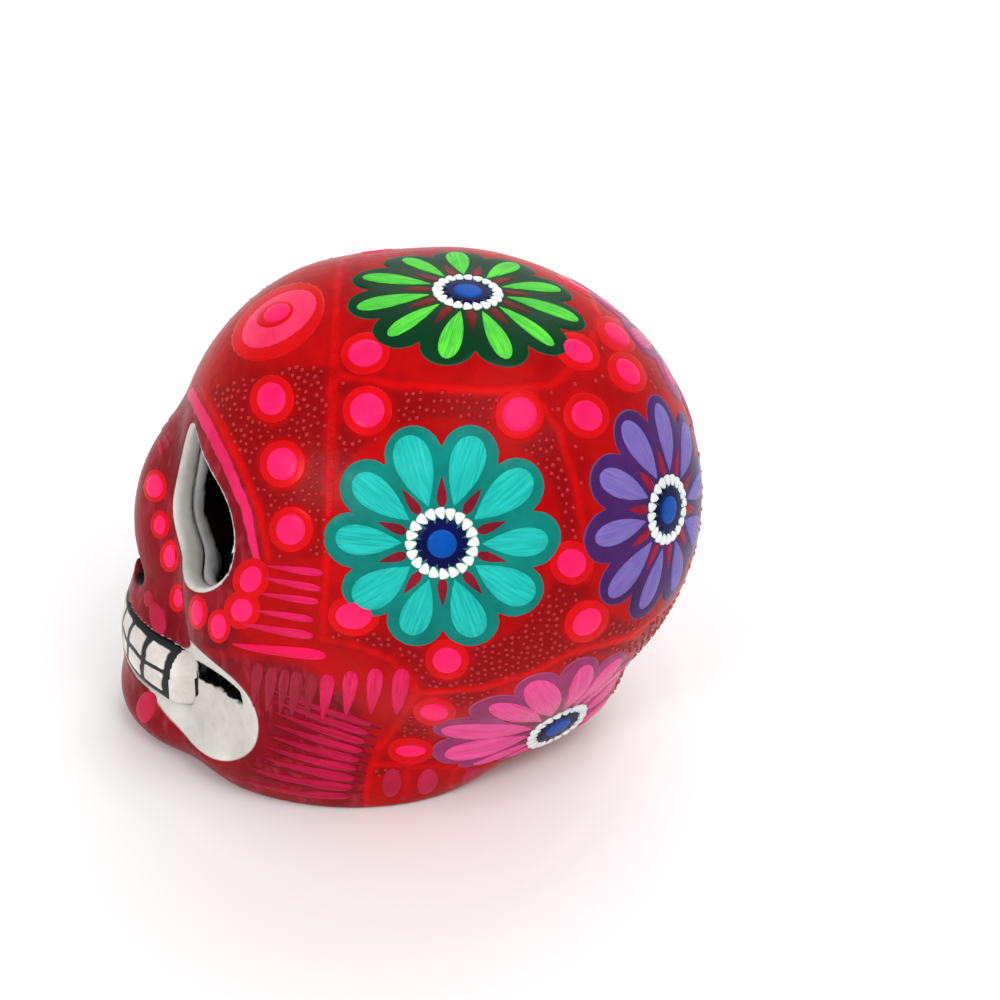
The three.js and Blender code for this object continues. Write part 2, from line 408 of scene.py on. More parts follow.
    def dish(self, points: Array) -> Array:
        """Level of the scoop beside the teeth."""
        return self.scoop.level(self.beside(points, self.scoop_centre))

    def slot(self, points: Array) -> Array:
        """Level of the slot in the scoop's floor, a little ragged along its lower edge.

        Args:
            points: Places in millimetres.

        Returns:
            The level of each.
        """
        along, off, up = self.beside(points, self.slot_centre).T
        half_length, half_depth, half_height = self.slot_half
        (broad, fine), (slow, fast) = self.slot_ragged, self.slot_waves
        ragged = broad * np.sin(along * slow) + fine * np.sin(along * fast + 1)
        low = -half_height + self.slot_taper * (half_length + along) + ragged - up
        length = np.abs(along + self.slot_shorter) - half_length + self.slot_shorter
        flat = np.maximum(np.maximum(up - half_height, low), length)
        return np.maximum(flat, np.abs(off) - half_depth)

    def vent(self, points: Array) -> Array:
        """Level of the oval hole in the foot."""
        oval = np.hypot(*((points[:, :2] + (0, self.vent_front)) / self.vent_half).T)
        return np.maximum((oval - 1) * min(self.vent_half), points[:, 2] - self.vent_top)

    def hollow(self, points: Array, skin: Array) -> Array:
        """Level of the empty inside, from the level of the skin at the same points."""
        inside = blend_high(skin + self.wall, self.wall - self.dish(points), self.hollow_round)
        return np.maximum(inside, self.floor - points[:, 2])

    def shell(self, points: Array) -> Array:
        """Level of the finished clay shell, with every hole and its rounded rim.

        Args:
            points: Places in millimetres.

        Returns:
            The level of each.
        """
        outside = self.pinched(points)
        level = blend_high(outside, -self.dish(points), self.rim_round)
        level = np.maximum(level, -self.hollow(points, outside))
        eye = np.maximum(self.eye(points), points[:, 1] + self.eye_rear)
        level = blend_high(level, -eye, self.rim_round)
        level = blend_high(level, -self.nose(points), self.rim_round)
        level = blend_high(level, -self.slot(points), self.edge_round)
        level = np.maximum(level, -self.mouth(points, self.seat_gap))
        level = np.maximum(level, -self.vent(points))
        return blend_high(level, -points[:, 2], self.corner_round)

    def tooth_block(self, points: Array) -> Array:
        """Level of the strip of teeth, with its edges rounded.

        Args:
            points: Places in millimetres.

        Returns:
            The level of each.
        """
        outside = self.pinched(points)
        level = blend_high(outside, -(outside + self.tooth_thickness), self.edge_round)
        return blend_high(level, self.mouth(points, 0), self.corner_round)

    def collar(self, points: Array) -> Array:
        """Level of the strip luted round an eye hole, with its inner edge cut by hand.

        Args:
            points: Places in millimetres.

        Returns:
            The level of each.
        """
        inside = self.skin(points) + self.wall
        x, y, z = points.T
        (broad, fine), (slow, fast) = self.collar_ragged, self.collar_waves
        ragged = broad * np.sin(z * slow) + fine * np.sin(z * fast + x)
        back = -(inside + self.collar_depth + ragged)
        layer = blend_high(inside + self.seat_gap, back, self.corner_round)
        eye = self.eye(points)
        ring = blend_high(layer, eye - self.collar_width, self.edge_round)
        return blend_high(ring, np.maximum(-eye, np.where(y < -self.eye_rear, -1.0, 1.0)), self.collar_round)


def graded(low: float, high: float, fine_to: float, fine: float, coarse: float) -> Array:
    """Grid places that are fine from the low end to a place, and coarse after it.

    Args:
        low: The low end.
        high: The high end.
        fine_to: Where the fine spacing stops.
        fine: The fine spacing.
        coarse: The coarse spacing, roughly.

    Returns:
        The places, in rising order.
    """
    near = np.arange(low, fine_to, fine)
    far = np.linspace(near[-1] + fine, high, max(2, int((high - near[-1]) / coarse)))
    return np.concatenate([near, far])


class SurfaceNet:
    """A closed mesh over the zero of a level, with one vertex in each grid cell that it crosses."""

    corners: tuple[tuple[int, int, int], ...] = tuple(np.ndindex(2, 2, 2))
    settle_rounds: int = 3
    settle_reach: float = 0.6
    least_slope: float = 0.2

    def __init__(self, form: SkullForm, level: Level, xs: Array, ys: Array, zs: Array) -> None:
        """Works out the vertices and the quads with their faces out.

        Args:
            form: The skull's form, which measures slopes.
            level: The level, below zero inside.
            xs: Grid places along X.
            ys: Grid places along Y.
            zs: Grid places along Z.
        """
        self.places = np.stack(np.meshgrid(xs, ys, zs, indexing="ij"), -1)
        self.shape = self.places.shape[:3]
        values = level(self.places.reshape(-1, 3)).reshape(self.shape)
        self.inside = values < 0
        count = sum(self.part(self.inside, corner).astype(np.int8) for corner in self.corners)
        self.active = (count > 0) & (count < len(self.corners))
        self.vertices = self.settled(form, level, self.crossings(values))
        self.quads = np.concatenate([self.quads_along(axis) for axis in range(3)])

    def part(self, array: Array, corner: tuple[int, int, int]) -> Array:
        """The values at one corner of every cell."""
        spans = [slice(step, size - 1 + step) for step, size in zip(corner, self.shape)]
        return array[tuple(spans)]

    def crossings(self, values: Array) -> Array:
        """The middle of the places where each cell's edges cross the zero.

        Args:
            values: The level at every grid place.

        Returns:
            One place for each cell that is crossed.
        """
        at_corner = {c: self.part(values, c)[self.active] for c in self.corners}
        place_at = {c: self.part(self.places, c)[self.active] for c in self.corners}
        total = np.zeros((int(self.active.sum()), 3))
        crossings = np.zeros(len(total))
        for first in self.corners:
            for axis in (k for k in range(3) if first[k] == 0):
                second = tuple(1 if k == axis else first[k] for k in range(3))
                a, b = at_corner[first], at_corner[second]
                crossed = (a < 0) != (b < 0)
                share = np.where(crossed, a / np.where(crossed, a - b, 1), 0)[:, None]
                point = place_at[first] + (place_at[second] - place_at[first]) * share
                total += np.where(crossed[:, None], point, 0)
                crossings += crossed
        return total / crossings[:, None]

    def settled(self, form: SkullForm, level: Level, vertices: Array) -> Array:
        """Vertices moved onto the zero of a level along its slope.

        Args:
            form: The skull's form.
            level: The level.
            vertices: Places close to its zero.

        Returns:
            The places on it.
        """
        for _ in range(self.settle_rounds):
            slope = form.slope(level, vertices)
            size = np.maximum((slope ** 2).sum(1), self.least_slope)
            step = np.clip(level(vertices) / size, -self.settle_reach, self.settle_reach)
            vertices = vertices - slope * step[:, None]
        return vertices

    def quads_along(self, axis: int) -> Array:
        """The quads round the crossed grid edges that run along one axis.

        Args:
            axis: The axis, 0 to 2.

        Returns:
            Four vertex numbers a row.
        """
        number = np.full(self.active.shape, -1, np.int64)
        number[self.active] = np.arange(len(self.vertices))
        others = [(axis + 1) % 3, (axis + 2) % 3]
        start, end = [slice(None)] * 3, [slice(None)] * 3
        start[axis] = slice(0, self.shape[axis] - 1)
        end[axis] = slice(1, self.shape[axis])
        edges = np.argwhere(self.inside[tuple(start)] != self.inside[tuple(end)])
        keep = np.ones(len(edges), bool)
        for other in others:
            keep &= (edges[:, other] > 0) & (edges[:, other] < self.shape[other] - 1)
        edges = edges[keep]
        ring = []
        for shift in ((1, 1), (0, 1), (0, 0), (1, 0)):
            cell = edges.copy()
            cell[:, others] -= shift
            ring.append(number[tuple(cell.T)])
        quad = np.stack(ring, 1)
        outward = self.inside[tuple(edges.T)]
        return np.where(outward[:, None], quad, quad[:, ::-1])


def new_piece(name: str, vertices: Array, faces: Sequence, smooth: bool = True) -> Piece:
    """Makes a mesh object at the origin.

    Args:
        name: The object's name.
        vertices: Its places in millimetres.
        faces: Vertex numbers, a row for each face.
        smooth: Whether its shading is smooth.

    Returns:
        The object, in the scene.
    """
    mesh = bpy.data.meshes.new(name)
    mesh.from_pydata((vertices * MM).tolist(), [], [tuple(f) for f in faces])
    mesh.update()
    piece = bpy.data.objects.new(name, mesh)
    bpy.context.scene.collection.objects.link(piece)
    if smooth:
        mesh.polygons.foreach_set("use_smooth", [True] * len(mesh.polygons))
    return piece


def give_value(mesh: bpy.types.Mesh, name: str, values: Array) -> None:
    """Adds one float to each vertex under a name."""
    layer = mesh.attributes.new(name, "FLOAT", "POINT")
    layer.data.foreach_set("value", values.astype(np.float32))


def finish_piece(piece: Piece, slot: Slot, *nodes: str) -> None:
    """Seats a piece on the skull's one body and hides the CAD nodes that it stands in for.

    Args:
        piece: The piece.
        slot: The record's slot for the piece. It is not used.
        nodes: The CAD nodes that it replaces.
    """
    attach(piece, "root")
    if nodes:
        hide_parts(*nodes)
    LOG.info("%s: %d faces", piece.name, len(piece.data.polygons))


@dataclass
class PhotoCamera:
    """The photograph's camera, in millimetres and in pixels of its 1000 by 1000 frame."""

    azimuth: float = math.radians(92.15)
    elevation: float = math.radians(35.2)
    roll: float = math.radians(0.16)
    distance: float = 600.0
    scale: float = 4.14
    centre: Pair = (427.74, 525.98)
    target: Triple = (0.0, 6.0, 56.0)
    frame_size: float = 1000.0
    sensor: float = 36.0
    nearest: float = 0.01
    farthest: float = 20.0

    def axes(self) -> tuple[Array, Array, Array]:
        """The camera's right, up and backward directions.

        Returns:
            Three unit vectors.
        """
        a, e, r = self.azimuth, self.elevation, self.roll
        back = np.array([math.sin(a) * math.cos(e), -math.cos(a) * math.cos(e), math.sin(e)])
        flat = np.array([math.cos(a), math.sin(a), 0.0])
        rise = np.cross(back, flat)
        right = flat * math.cos(r) + rise * math.sin(r)
        return right, rise * math.cos(r) - flat * math.sin(r), back

    def rays(self, pixels: Array) -> tuple[Array, Array]:
        """The ray through each pixel.

        Args:
            pixels: Pixels, a row for each.

        Returns:
            The rays' starts and their unit directions.
        """
        right, up, back = self.axes()
        focal = self.scale * self.distance
        side = right * ((pixels[:, :1] - self.centre[0]) / focal)
        rise = up * ((self.centre[1] - pixels[:, 1:2]) / focal)
        away = -back + side + rise
        start = np.array(self.target) + back * self.distance
        return np.repeat(start[None], len(pixels), 0), away / np.linalg.norm(away, axis=1, keepdims=True)

    def pixels(self, points: Array) -> Array:
        """The pixel that each point is seen at.

        Args:
            points: Places in millimetres.

        Returns:
            Pixels, a row for each.
        """
        right, up, back = self.axes()
        place = points - np.array(self.target)
        size = self.scale * self.distance / (self.distance - place @ back)
        return np.stack([self.centre[0] + (place @ right) * size, self.centre[1] - (place @ up) * size], 1)

    def place(self) -> None:
        """Makes the scene's camera."""
        right, up, back = self.axes()
        data = bpy.data.cameras.new("photo_camera")
        data.sensor_width = self.sensor
        data.lens = self.scale * self.distance / self.frame_size * self.sensor
        data.shift_x = 0.5 - self.centre[0] / self.frame_size
        data.shift_y = self.centre[1] / self.frame_size - 0.5
        data.clip_start = self.nearest
        data.clip_end = self.farthest
        camera = bpy.data.objects.new("photo_camera", data)
        turn = Matrix([list(row) for row in np.stack([right, up, back], 1)]).to_4x4()
        where = (np.array(self.target) + back * self.distance) * MM
        camera.matrix_world = Matrix.Translation(Vector(where)) @ turn
        bpy.context.scene.collection.objects.link(camera)
        bpy.context.scene.camera = camera


class Graph:
    """A node tree being put together."""

    def __init__(self, tree: bpy.types.NodeTree) -> None:
        """Starts on a tree that holds nothing yet."""
        self.tree = tree
        tree.nodes.clear()

    def add(
        self, kind: str, inputs: dict[str | int, object] | None = None, **settings: object
    ) -> bpy.types.Node:
        """Adds a node.

        Args:
            kind: The node's type.
            inputs: What each input gets: a constant, or the output that feeds it.
            settings: The node's plain properties.

        Returns:
            The node.
        """
        node = self.tree.nodes.new(kind)
        for name, value in settings.items():
            setattr(node, name, value)
        for socket, source in (inputs or {}).items():
            if isinstance(source, Socket):
                self.tree.links.new(source, node.inputs[socket])
            else:
                node.inputs[socket].default_value = source
        return node

    def maths(self, operation: str, *values: object) -> Socket:
        """A Math node over constants and outputs."""
        return self.add("ShaderNodeMath", dict(enumerate(values)), operation=operation).outputs[0]

    def times(self, first: object, second: object) -> Socket:
        """The product of two values."""
        return self.maths("MULTIPLY", first, second)

    def plus(self, first: object, second: object) -> Socket:
        """The sum of two values."""
        return self.maths("ADD", first, second)

    def blend(self, share: object, first: Socket | Colour, second: Socket | Colour) -> Socket:
        """A colour between two others."""
        a, b = (colour if isinstance(colour, Socket) else paint(colour) for colour in (first, second))
        return self.add("ShaderNodeMix", {"Factor": share, 6: a, 7: b}, data_type="RGBA").outputs[2]

    def spread(self, value: object, low: float, high: float, start: float = 0, end: float = 1) -> Socket:
        """A value mapped from one range onto another and held there."""
        ranges = dict(enumerate((value, low, high, start, end)))
        return self.add("ShaderNodeMapRange", ranges).outputs[0]

    def named(self, name: str) -> Socket:
        """A mesh's own float, by name."""
        return self.add("ShaderNodeAttribute", attribute_name=name).outputs["Fac"]

    def noise(self, place: object, scale: object, detail: float = 3) -> Socket:
        """A noise value over a place."""
        inputs = {"Vector": place, "Scale": scale, "Detail": detail}
        return self.add("ShaderNodeTexNoise", inputs).outputs["Fac"]

    def scaled(self, vector: object, factor: object) -> Socket:
        """A vector times a number."""
        return self.add("ShaderNodeVectorMath", {0: vector, "Scale": factor}, operation="SCALE").outputs[0]

    def summed(self, first: object, second: object) -> Socket:
        """The sum of two vectors."""
        return self.add("ShaderNodeVectorMath", {0: first, 1: second}, operation="ADD").outputs[0]

    def carried(self, name: str, kind: str) -> Socket:
        """A named value of the geometry that a tree works on."""
        node = self.add("GeometryNodeInputNamedAttribute", {"Name": name}, data_type=kind)
        return node.outputs["Attribute"]

    def dress(self, geometry: Socket, material: Socket) -> None:
        """Gives what a tree makes its material and puts it out."""
        dressed = self.add("GeometryNodeSetMaterial", {"Geometry": geometry, "Material": material})
        self.add("NodeGroupOutput", {"Geometry": dressed.outputs[0]})


def new_tree(
    kind: str, name: str, inputs: dict[str, str], outputs: dict[str, str]
) -> tuple[Graph, bpy.types.NodeOutputs, dict[str, str]]:
    """Starts a node tree with named inputs and outputs.

    Args:
        kind: The tree's type.
        name: Its name.
        inputs: Each input's name and kind of value.
        outputs: Each output's name and kind of value.

    Returns:
        The graph, the sockets that its inputs come from, and each input's identifier by name.
    """
    tree = bpy.data.node_groups.new(name, kind)
    graph = Graph(tree)
    keys = {}
    for label, value in inputs.items():
        made = tree.interface.new_socket(label, in_out="INPUT", socket_type="NodeSocket" + value)
        keys[label] = made.identifier
    for label, value in outputs.items():
        tree.interface.new_socket(label, in_out="OUTPUT", socket_type="NodeSocket" + value)
    return graph, graph.add("NodeGroupInput").outputs, keys


@dataclass(frozen=True)
class HandGlaze:
    """The group for thinly and thickly laid colour: broad mottling and a fine raised skin."""

    broad_detail: float = 4
    finer: float = 5.5
    fine_share: float = 0.35
    thin: float = 0.45
    thick: float = 0.9
    broad_skin: float = 0.6

    @cache
    def tree(self) -> bpy.types.NodeTree:
        """Builds the group, once.

        Returns:
            The group.
        """
        inputs = {"Place": "Vector", "Scale": "Float"}
        outputs = {"Mottle": "Float", "Skin": "Float"}
        graph, given, _ = new_tree("ShaderNodeTree", "hand_glaze", inputs, outputs)
        broad = graph.noise(given["Place"], given["Scale"], self.broad_detail)
        fine = graph.noise(given["Place"], graph.times(given["Scale"], self.finer))
        mottle = graph.spread(graph.plus(broad, graph.times(fine, self.fine_share)), self.thin, self.thick)
        skin = graph.plus(graph.times(broad, self.broad_skin), fine)
        graph.add("NodeGroupOutput", {"Mottle": mottle, "Skin": skin})
        return graph.tree


@dataclass(frozen=True)
class BrushStreaks:
    """The group for the fine lines that a brush leaves along a stroke."""

    along: float = 1.1
    across: float = 7.0
    odd: float = 9.0
    low: float = 0.38
    high: float = 0.64

    @cache
    def tree(self) -> bpy.types.NodeTree:
        """Builds the group, once.

        Returns:
            The group.
        """
        sockets = {"Along": "Float", "Across": "Float", "Odd": "Float"}
        graph, given, _ = new_tree("ShaderNodeTree", "brush_streaks", sockets, {"Streak": "Float"})
        stretch = {"Along": self.along, "Across": self.across, "Odd": self.odd}
        parts = {k: graph.times(given[label], more) for k, (label, more) in enumerate(stretch.items())}
        lines = graph.noise(graph.add("ShaderNodeCombineXYZ", parts).outputs[0], 1.0)
        graph.add("NodeGroupOutput", {"Streak": graph.spread(lines, self.low, self.high)})
        return graph.tree


class PaintGraph(Graph):
    """A paint's own node tree, with the place on the object and the hand-laid glaze at hand."""

    relief_depth: float = 0.0004
    sway_detail: float = 2
    sway_from: float = 0.3
    sway_to: float = 0.7

    def __init__(self, name: str, scale: float) -> None:
        """Makes the material.

        Args:
            name: The material's name.
            scale: The scale of the glaze's mottling.
        """
        self.material = bpy.data.materials.new(name)
        self.material.use_nodes = True
        super().__init__(self.material.node_tree)
        self.place = self.add("ShaderNodeTexCoord").outputs["Object"]
        inputs = {"Place": self.place, "Scale": scale}
        glaze = self.add("ShaderNodeGroup", inputs, node_tree=HandGlaze().tree()).outputs
        self.mottle = glaze["Mottle"]
        self.skin = glaze["Skin"]

    def sway(self, scale: float, most: float) -> Socket:
        """How far a line drawn by hand strays, in millimetres either way."""
        drift = self.noise(self.place, scale, self.sway_detail)
        return self.spread(drift, self.sway_from, self.sway_to, -most, most)

    def finish(
        self, colour: Socket, rough: Socket, height: Socket, bump: float, gloss: float
    ) -> bpy.types.Material:
        """Adds the shader itself and joins colour, roughness and relief to it.

        Args:
            colour: Base colour.
            rough: Roughness.
            height: Relief, about 0 to 1.
            bump: How strong the relief is.
            gloss: How strongly the surface mirrors its surroundings.

        Returns:
            The material.
        """
        depth = {"Strength": bump, "Distance": self.relief_depth, "Height": height}
        relief = self.add("ShaderNodeBump", depth).outputs[0]
        shader = self.add("ShaderNodeBsdfPrincipled", {
            "Base Color": colour, "Roughness": rough, "Normal": relief, "Specular IOR Level": gloss,
        })
        self.add("ShaderNodeOutputMaterial", {"Surface": shader.outputs[0]})
        return self.material


@dataclass(frozen=True)
class Finish:
    """One brushed paint under a clear gloss."""

    name: str
    colour: Colour
    deep: Colour
    rough: float = 0.26
    gloss: float = 0.06
    scale: float = 90.0
    bump: float = 0.12
    streaks: bool = False
    end_deep: float = 0.0
    edge: Colour | None = None
    streak_share: float = 0.65
    skin_share: float = 0.5
    fade_to: float = 0.3
    rim_from: float = 0.35
    rim_to: float = 0.75
    deep_rougher: float = 0.08
    bright_smoother: float = 0.04

    @cache
    def build(self) -> bpy.types.Material:
        """Makes the material, once.

        Returns:
            The material.
        """
        graph = PaintGraph(self.name, self.scale)
        share, height = graph.mottle, graph.skin
        if self.streaks:
            brush = {label: graph.named(label.lower()) for label in ("Along", "Across", "Odd")}
            streak = graph.add("ShaderNodeGroup", brush, node_tree=BrushStreaks().tree()).outputs["Streak"]
            share = graph.times(share, 1 - self.streak_share)
            share = graph.plus(share, graph.times(streak, self.streak_share))
            height = graph.plus(graph.times(height, self.skin_share), streak)
        if self.end_deep:
            fade = graph.spread(graph.named("along"), -1.0, self.fade_to, 1 - self.end_deep)
            share = graph.times(share, fade)
        colour = graph.blend(share, self.deep, self.colour)
        if self.edge:
            rim = graph.spread(graph.named("dome"), self.rim_from, self.rim_to, 1, 0)
            colour = graph.blend(rim, colour, self.edge)
        rough = graph.spread(share, 0, 1, self.rough + self.deep_rougher, self.rough - self.bright_smoother)
        return graph.finish(colour, rough, height, self.bump, self.gloss)


@dataclass(frozen=True)
class GroundFinish:
    """The shell's painted ground, whose colours meet along lines that the mesh carries in mm."""

    name: str = "painted_ground"
    red: Colour = (182, 5, 8)
    red_deep: Colour = (144, 2, 5)
    face: Colour = (140, 14, 28)
    face_deep: Colour = (102, 6, 18)
    dry: Colour = (184, 62, 78)
    panel: Colour = (134, 5, 10)
    line: Colour = (212, 5, 12)
    pink: Colour = (226, 40, 100)
    pink_deep: Colour = (184, 14, 64)
    white: Colour = (212, 209, 204)
    white_deep: Colour = (180, 175, 168)
    # Near-black painted shade, laid on the walls of the nose hole and the mouth slots.
    black: Colour = (10, 8, 8)
    # Dark brown painted shade for the unlit hollow inside the shell.
    inside: Colour = (38, 22, 18)
    clay: Colour = (150, 92, 66)
    clay_deep: Colour = (118, 66, 46)
    glaze_scale: float = 70.0
    sway_scale: float = 260.0
    sway: float = 0.28
    drawn: Triple = (1.0, 0.8, 0.22)
    drawn_scale: float = 420.0
    drawn_range: Pair = (0.52, 0.72)
    dry_share: float = 0.42
    line_edge: Pair = (0.8, 0.5)
    line_share: Pair = (0.45, 0.9)
    brow_edge: Pair = (0.0, 0.15)
    brow_deep: float = 0.6
    hole_shade_edge: Pair = (0.4, 0.2)
    clay_edge: Pair = (0.5, 0.2)
    crisp: Pair = (0.15, 0.45)
    rough: Pair = (0.25, 0.75)
    mottle_rough: float = 0.08
    skin_rise: float = 0.5
    line_rise: float = 0.6
    brow_rise: float = 1.2
    bump: float = 0.5
    gloss: float = 0.045

    def build(self) -> bpy.types.Material:
        """Makes the material.

        Returns:
            The material.
        """
        graph = PaintGraph(self.name, self.glaze_scale)
        mottle = graph.mottle
        sway = graph.sway(self.sway_scale, self.sway)

        def within(name: str, edge: Pair) -> Socket:
            """One inside a distance from a painted line, with a soft edge."""
            far = graph.plus(graph.named(name), sway)
            return graph.spread(far, edge[0] - edge[1], edge[0] + edge[1], 1, 0)

        colour = graph.blend(mottle, self.red_deep, self.red)
        face = graph.blend(mottle, self.face_deep, self.face)
        drawn = graph.add("ShaderNodeVectorMath", {0: graph.place, 1: self.drawn}, operation="MULTIPLY")
        brushed = graph.noise(drawn.outputs[0], self.drawn_scale)
        brushed = graph.spread(brushed, *self.drawn_range, 0, self.dry_share)
        face = graph.blend(brushed, face, self.dry)
        colour = graph.blend(graph.named("face_share"), colour, face)
        colour = graph.blend(graph.named("bead_field"), colour, self.panel)
        line = graph.times(within("line_far", self.line_edge), graph.spread(mottle, 0, 1, *self.line_share))
        colour = graph.blend(line, colour, self.line)
        brow = within("brow_far", self.brow_edge)
        pink = graph.blend(graph.times(mottle, self.brow_deep), self.pink, self.pink_deep)
        colour = graph.blend(brow, colour, pink)
        white = graph.spread(graph.named("white_far"), *self.crisp, 1, 0)
        colour = graph.blend(white, colour, graph.blend(mottle, self.white_deep, self.white))
        # Painted shade: the walls of the nose hole and the mouth slots go near-black.
        colour = graph.blend(within("nose_far", self.hole_shade_edge), colour, self.black)
        # Painted shade: the inside of the hollow goes dark brown.
        inside = graph.spread(graph.named("inner_far"), *self.crisp, 1, 0)
        colour = graph.blend(inside, colour, self.inside)
        bare = within("clay_far", self.clay_edge)
        colour = graph.blend(bare, colour, graph.blend(mottle, self.clay_deep, self.clay))
        dull = graph.spread(graph.maths("MAXIMUM", inside, bare), 0, 1, *self.rough)
        rough = graph.plus(dull, graph.times(mottle, self.mottle_rough))
        laid = graph.plus(graph.times(line, self.line_rise), graph.times(brow, self.brow_rise))
        height = graph.plus(graph.times(graph.skin, self.skin_rise), laid)
        return graph.finish(colour, rough, height, self.bump, self.gloss)


@dataclass(frozen=True)
class ToothFinish:
    """White slip with the black lines that the maker brushed between the teeth, and black painted shade on
    the strip's back.
    """

    name: str = "brushed_teeth"
    white: Colour = (221, 216, 210)
    white_deep: Colour = (190, 182, 176)
    black: Colour = (8, 7, 8)
    glaze_scale: float = 120.0
    sway_scale: float = 240.0
    sway: float = 0.18
    ink_soft: float = 0.12
    rough: Pair = (0.26, 0.38)
    skin_rise: float = 0.5
    bump: float = 0.4
    gloss: float = 0.25

    def build(self) -> bpy.types.Material:
        """Makes the material.

        Returns:
            The material.
        """
        graph = PaintGraph(self.name, self.glaze_scale)
        # The black covers the brushed lines and, as painted shade, the strip's back inside the hollow.
        far = graph.plus(graph.named("ink_far"), graph.sway(self.sway_scale, self.sway))
        ink = graph.spread(far, -self.ink_soft, self.ink_soft, 1, 0)
        pale = graph.blend(graph.mottle, self.white_deep, self.white)
        rough = graph.spread(graph.mottle, 0, 1, *self.rough)
        height = graph.plus(graph.times(graph.skin, self.skin_rise), ink)
        return graph.finish(graph.blend(ink, pale, self.black), rough, height, self.bump, self.gloss)


CLAY_FINISH = Finish("bare_clay_coil", (150, 92, 66), (112, 60, 42), 0.8, 0.2, 160, 0.5)
COLLAR_FINISH = Finish("pale_eye_strip", (184, 182, 180), (148, 145, 142), rough=0.45, scale=130)


def distance_to(points: Array, path: Array) -> Array:
    """Distance of each point from a dense path.

    Args:
        points: Places in millimetres.
        path: The path's places.

    Returns:
        The distance from the nearest of them.
    """
    best = np.full(len(points), np.inf)
    for chunk in np.array_split(path, max(1, len(path) // CHUNK)):
        gap = ((points[:, None] - chunk[None]) ** 2).sum(2).min(1)
        best = np.minimum(best, gap)
    return np.sqrt(best)


def depth_within(pixels: Array, corners: Sequence[Pair]) -> Array:
    """How far inside an outline places lie.

    Args:
        pixels: The places, in pixels.
        corners: The outline's corners, in order.

    Returns:
        The depths in pixels, below zero outside it.
    """
    ring = np.array(corners, float)
    inside = np.zeros(len(pixels), bool)
    best = np.full(len(pixels), np.inf)
    x, y = pixels.T
    for a, b in zip(ring, np.roll(ring, -1, axis=0)):
        crossed = (a[1] > y) != (b[1] > y)
        rise = b[1] - a[1] if b[1] != a[1] else TINY
        inside ^= crossed & (x < a[0] + (y - a[1]) * (b[0] - a[0]) / rise)
        edge = b - a
        share = np.clip(((pixels - a) @ edge) / max(edge @ edge, TINY), 0, 1)
        best = np.minimum(best, np.linalg.norm(pixels - a - share[:, None] * edge, axis=1))
    return np.where(inside, best, -best)


@dataclass
class Spot:
    """A painted mark's place on the skull, in millimetres, its direction and its half sizes."""

    place: Array
    along: Array
    away: Array
    half_length: float
    half_width: float
    squash: float = 1.0
    single: bool = False
    least_gap: float = 0.85

    def clear_of(self, others: Sequence["Spot"]) -> bool:
        """Whether a mark stays off other marks."""
        reach = [self.least_gap * (self.half_length + other.half_length) for other in others]
        return all(np.linalg.norm(self.place - o.place) > far for o, far in zip(others, reach))

    def mirrored(self) -> "Spot":
        """The same mark on the other side."""
        turned = {name: other_side(getattr(self, name)) for name in ("place", "along", "away")}
        return replace(self, **turned)

    def across(self) -> Array:
        """The direction across the mark."""
        return np.cross(self.away, self.along)

    def moved(self, along: float, across: float, turn: float, length: float, width: float) -> "Spot":
        """Another mark in this one's plane, squashed with it.

        Args:
            along: How far it lies along this one's length.
            across: How far it lies across it.
            turn: How far it is turned, in radians.
            length: Its half length before the squash.
            width: Its half width before the squash.

        Returns:
            The mark.
        """
        place = self.place + self.along * along + self.across() * across * self.squash
        cos, sin = math.cos(turn), math.sin(turn) * self.squash
        longer = math.hypot(cos, sin)
        wider = math.hypot(math.sin(turn), math.cos(turn) * self.squash)
        heading = (self.along * cos + self.across() * sin) / longer
        return Spot(place, heading, self.away, length * longer, width * wider, 1.0, self.single)


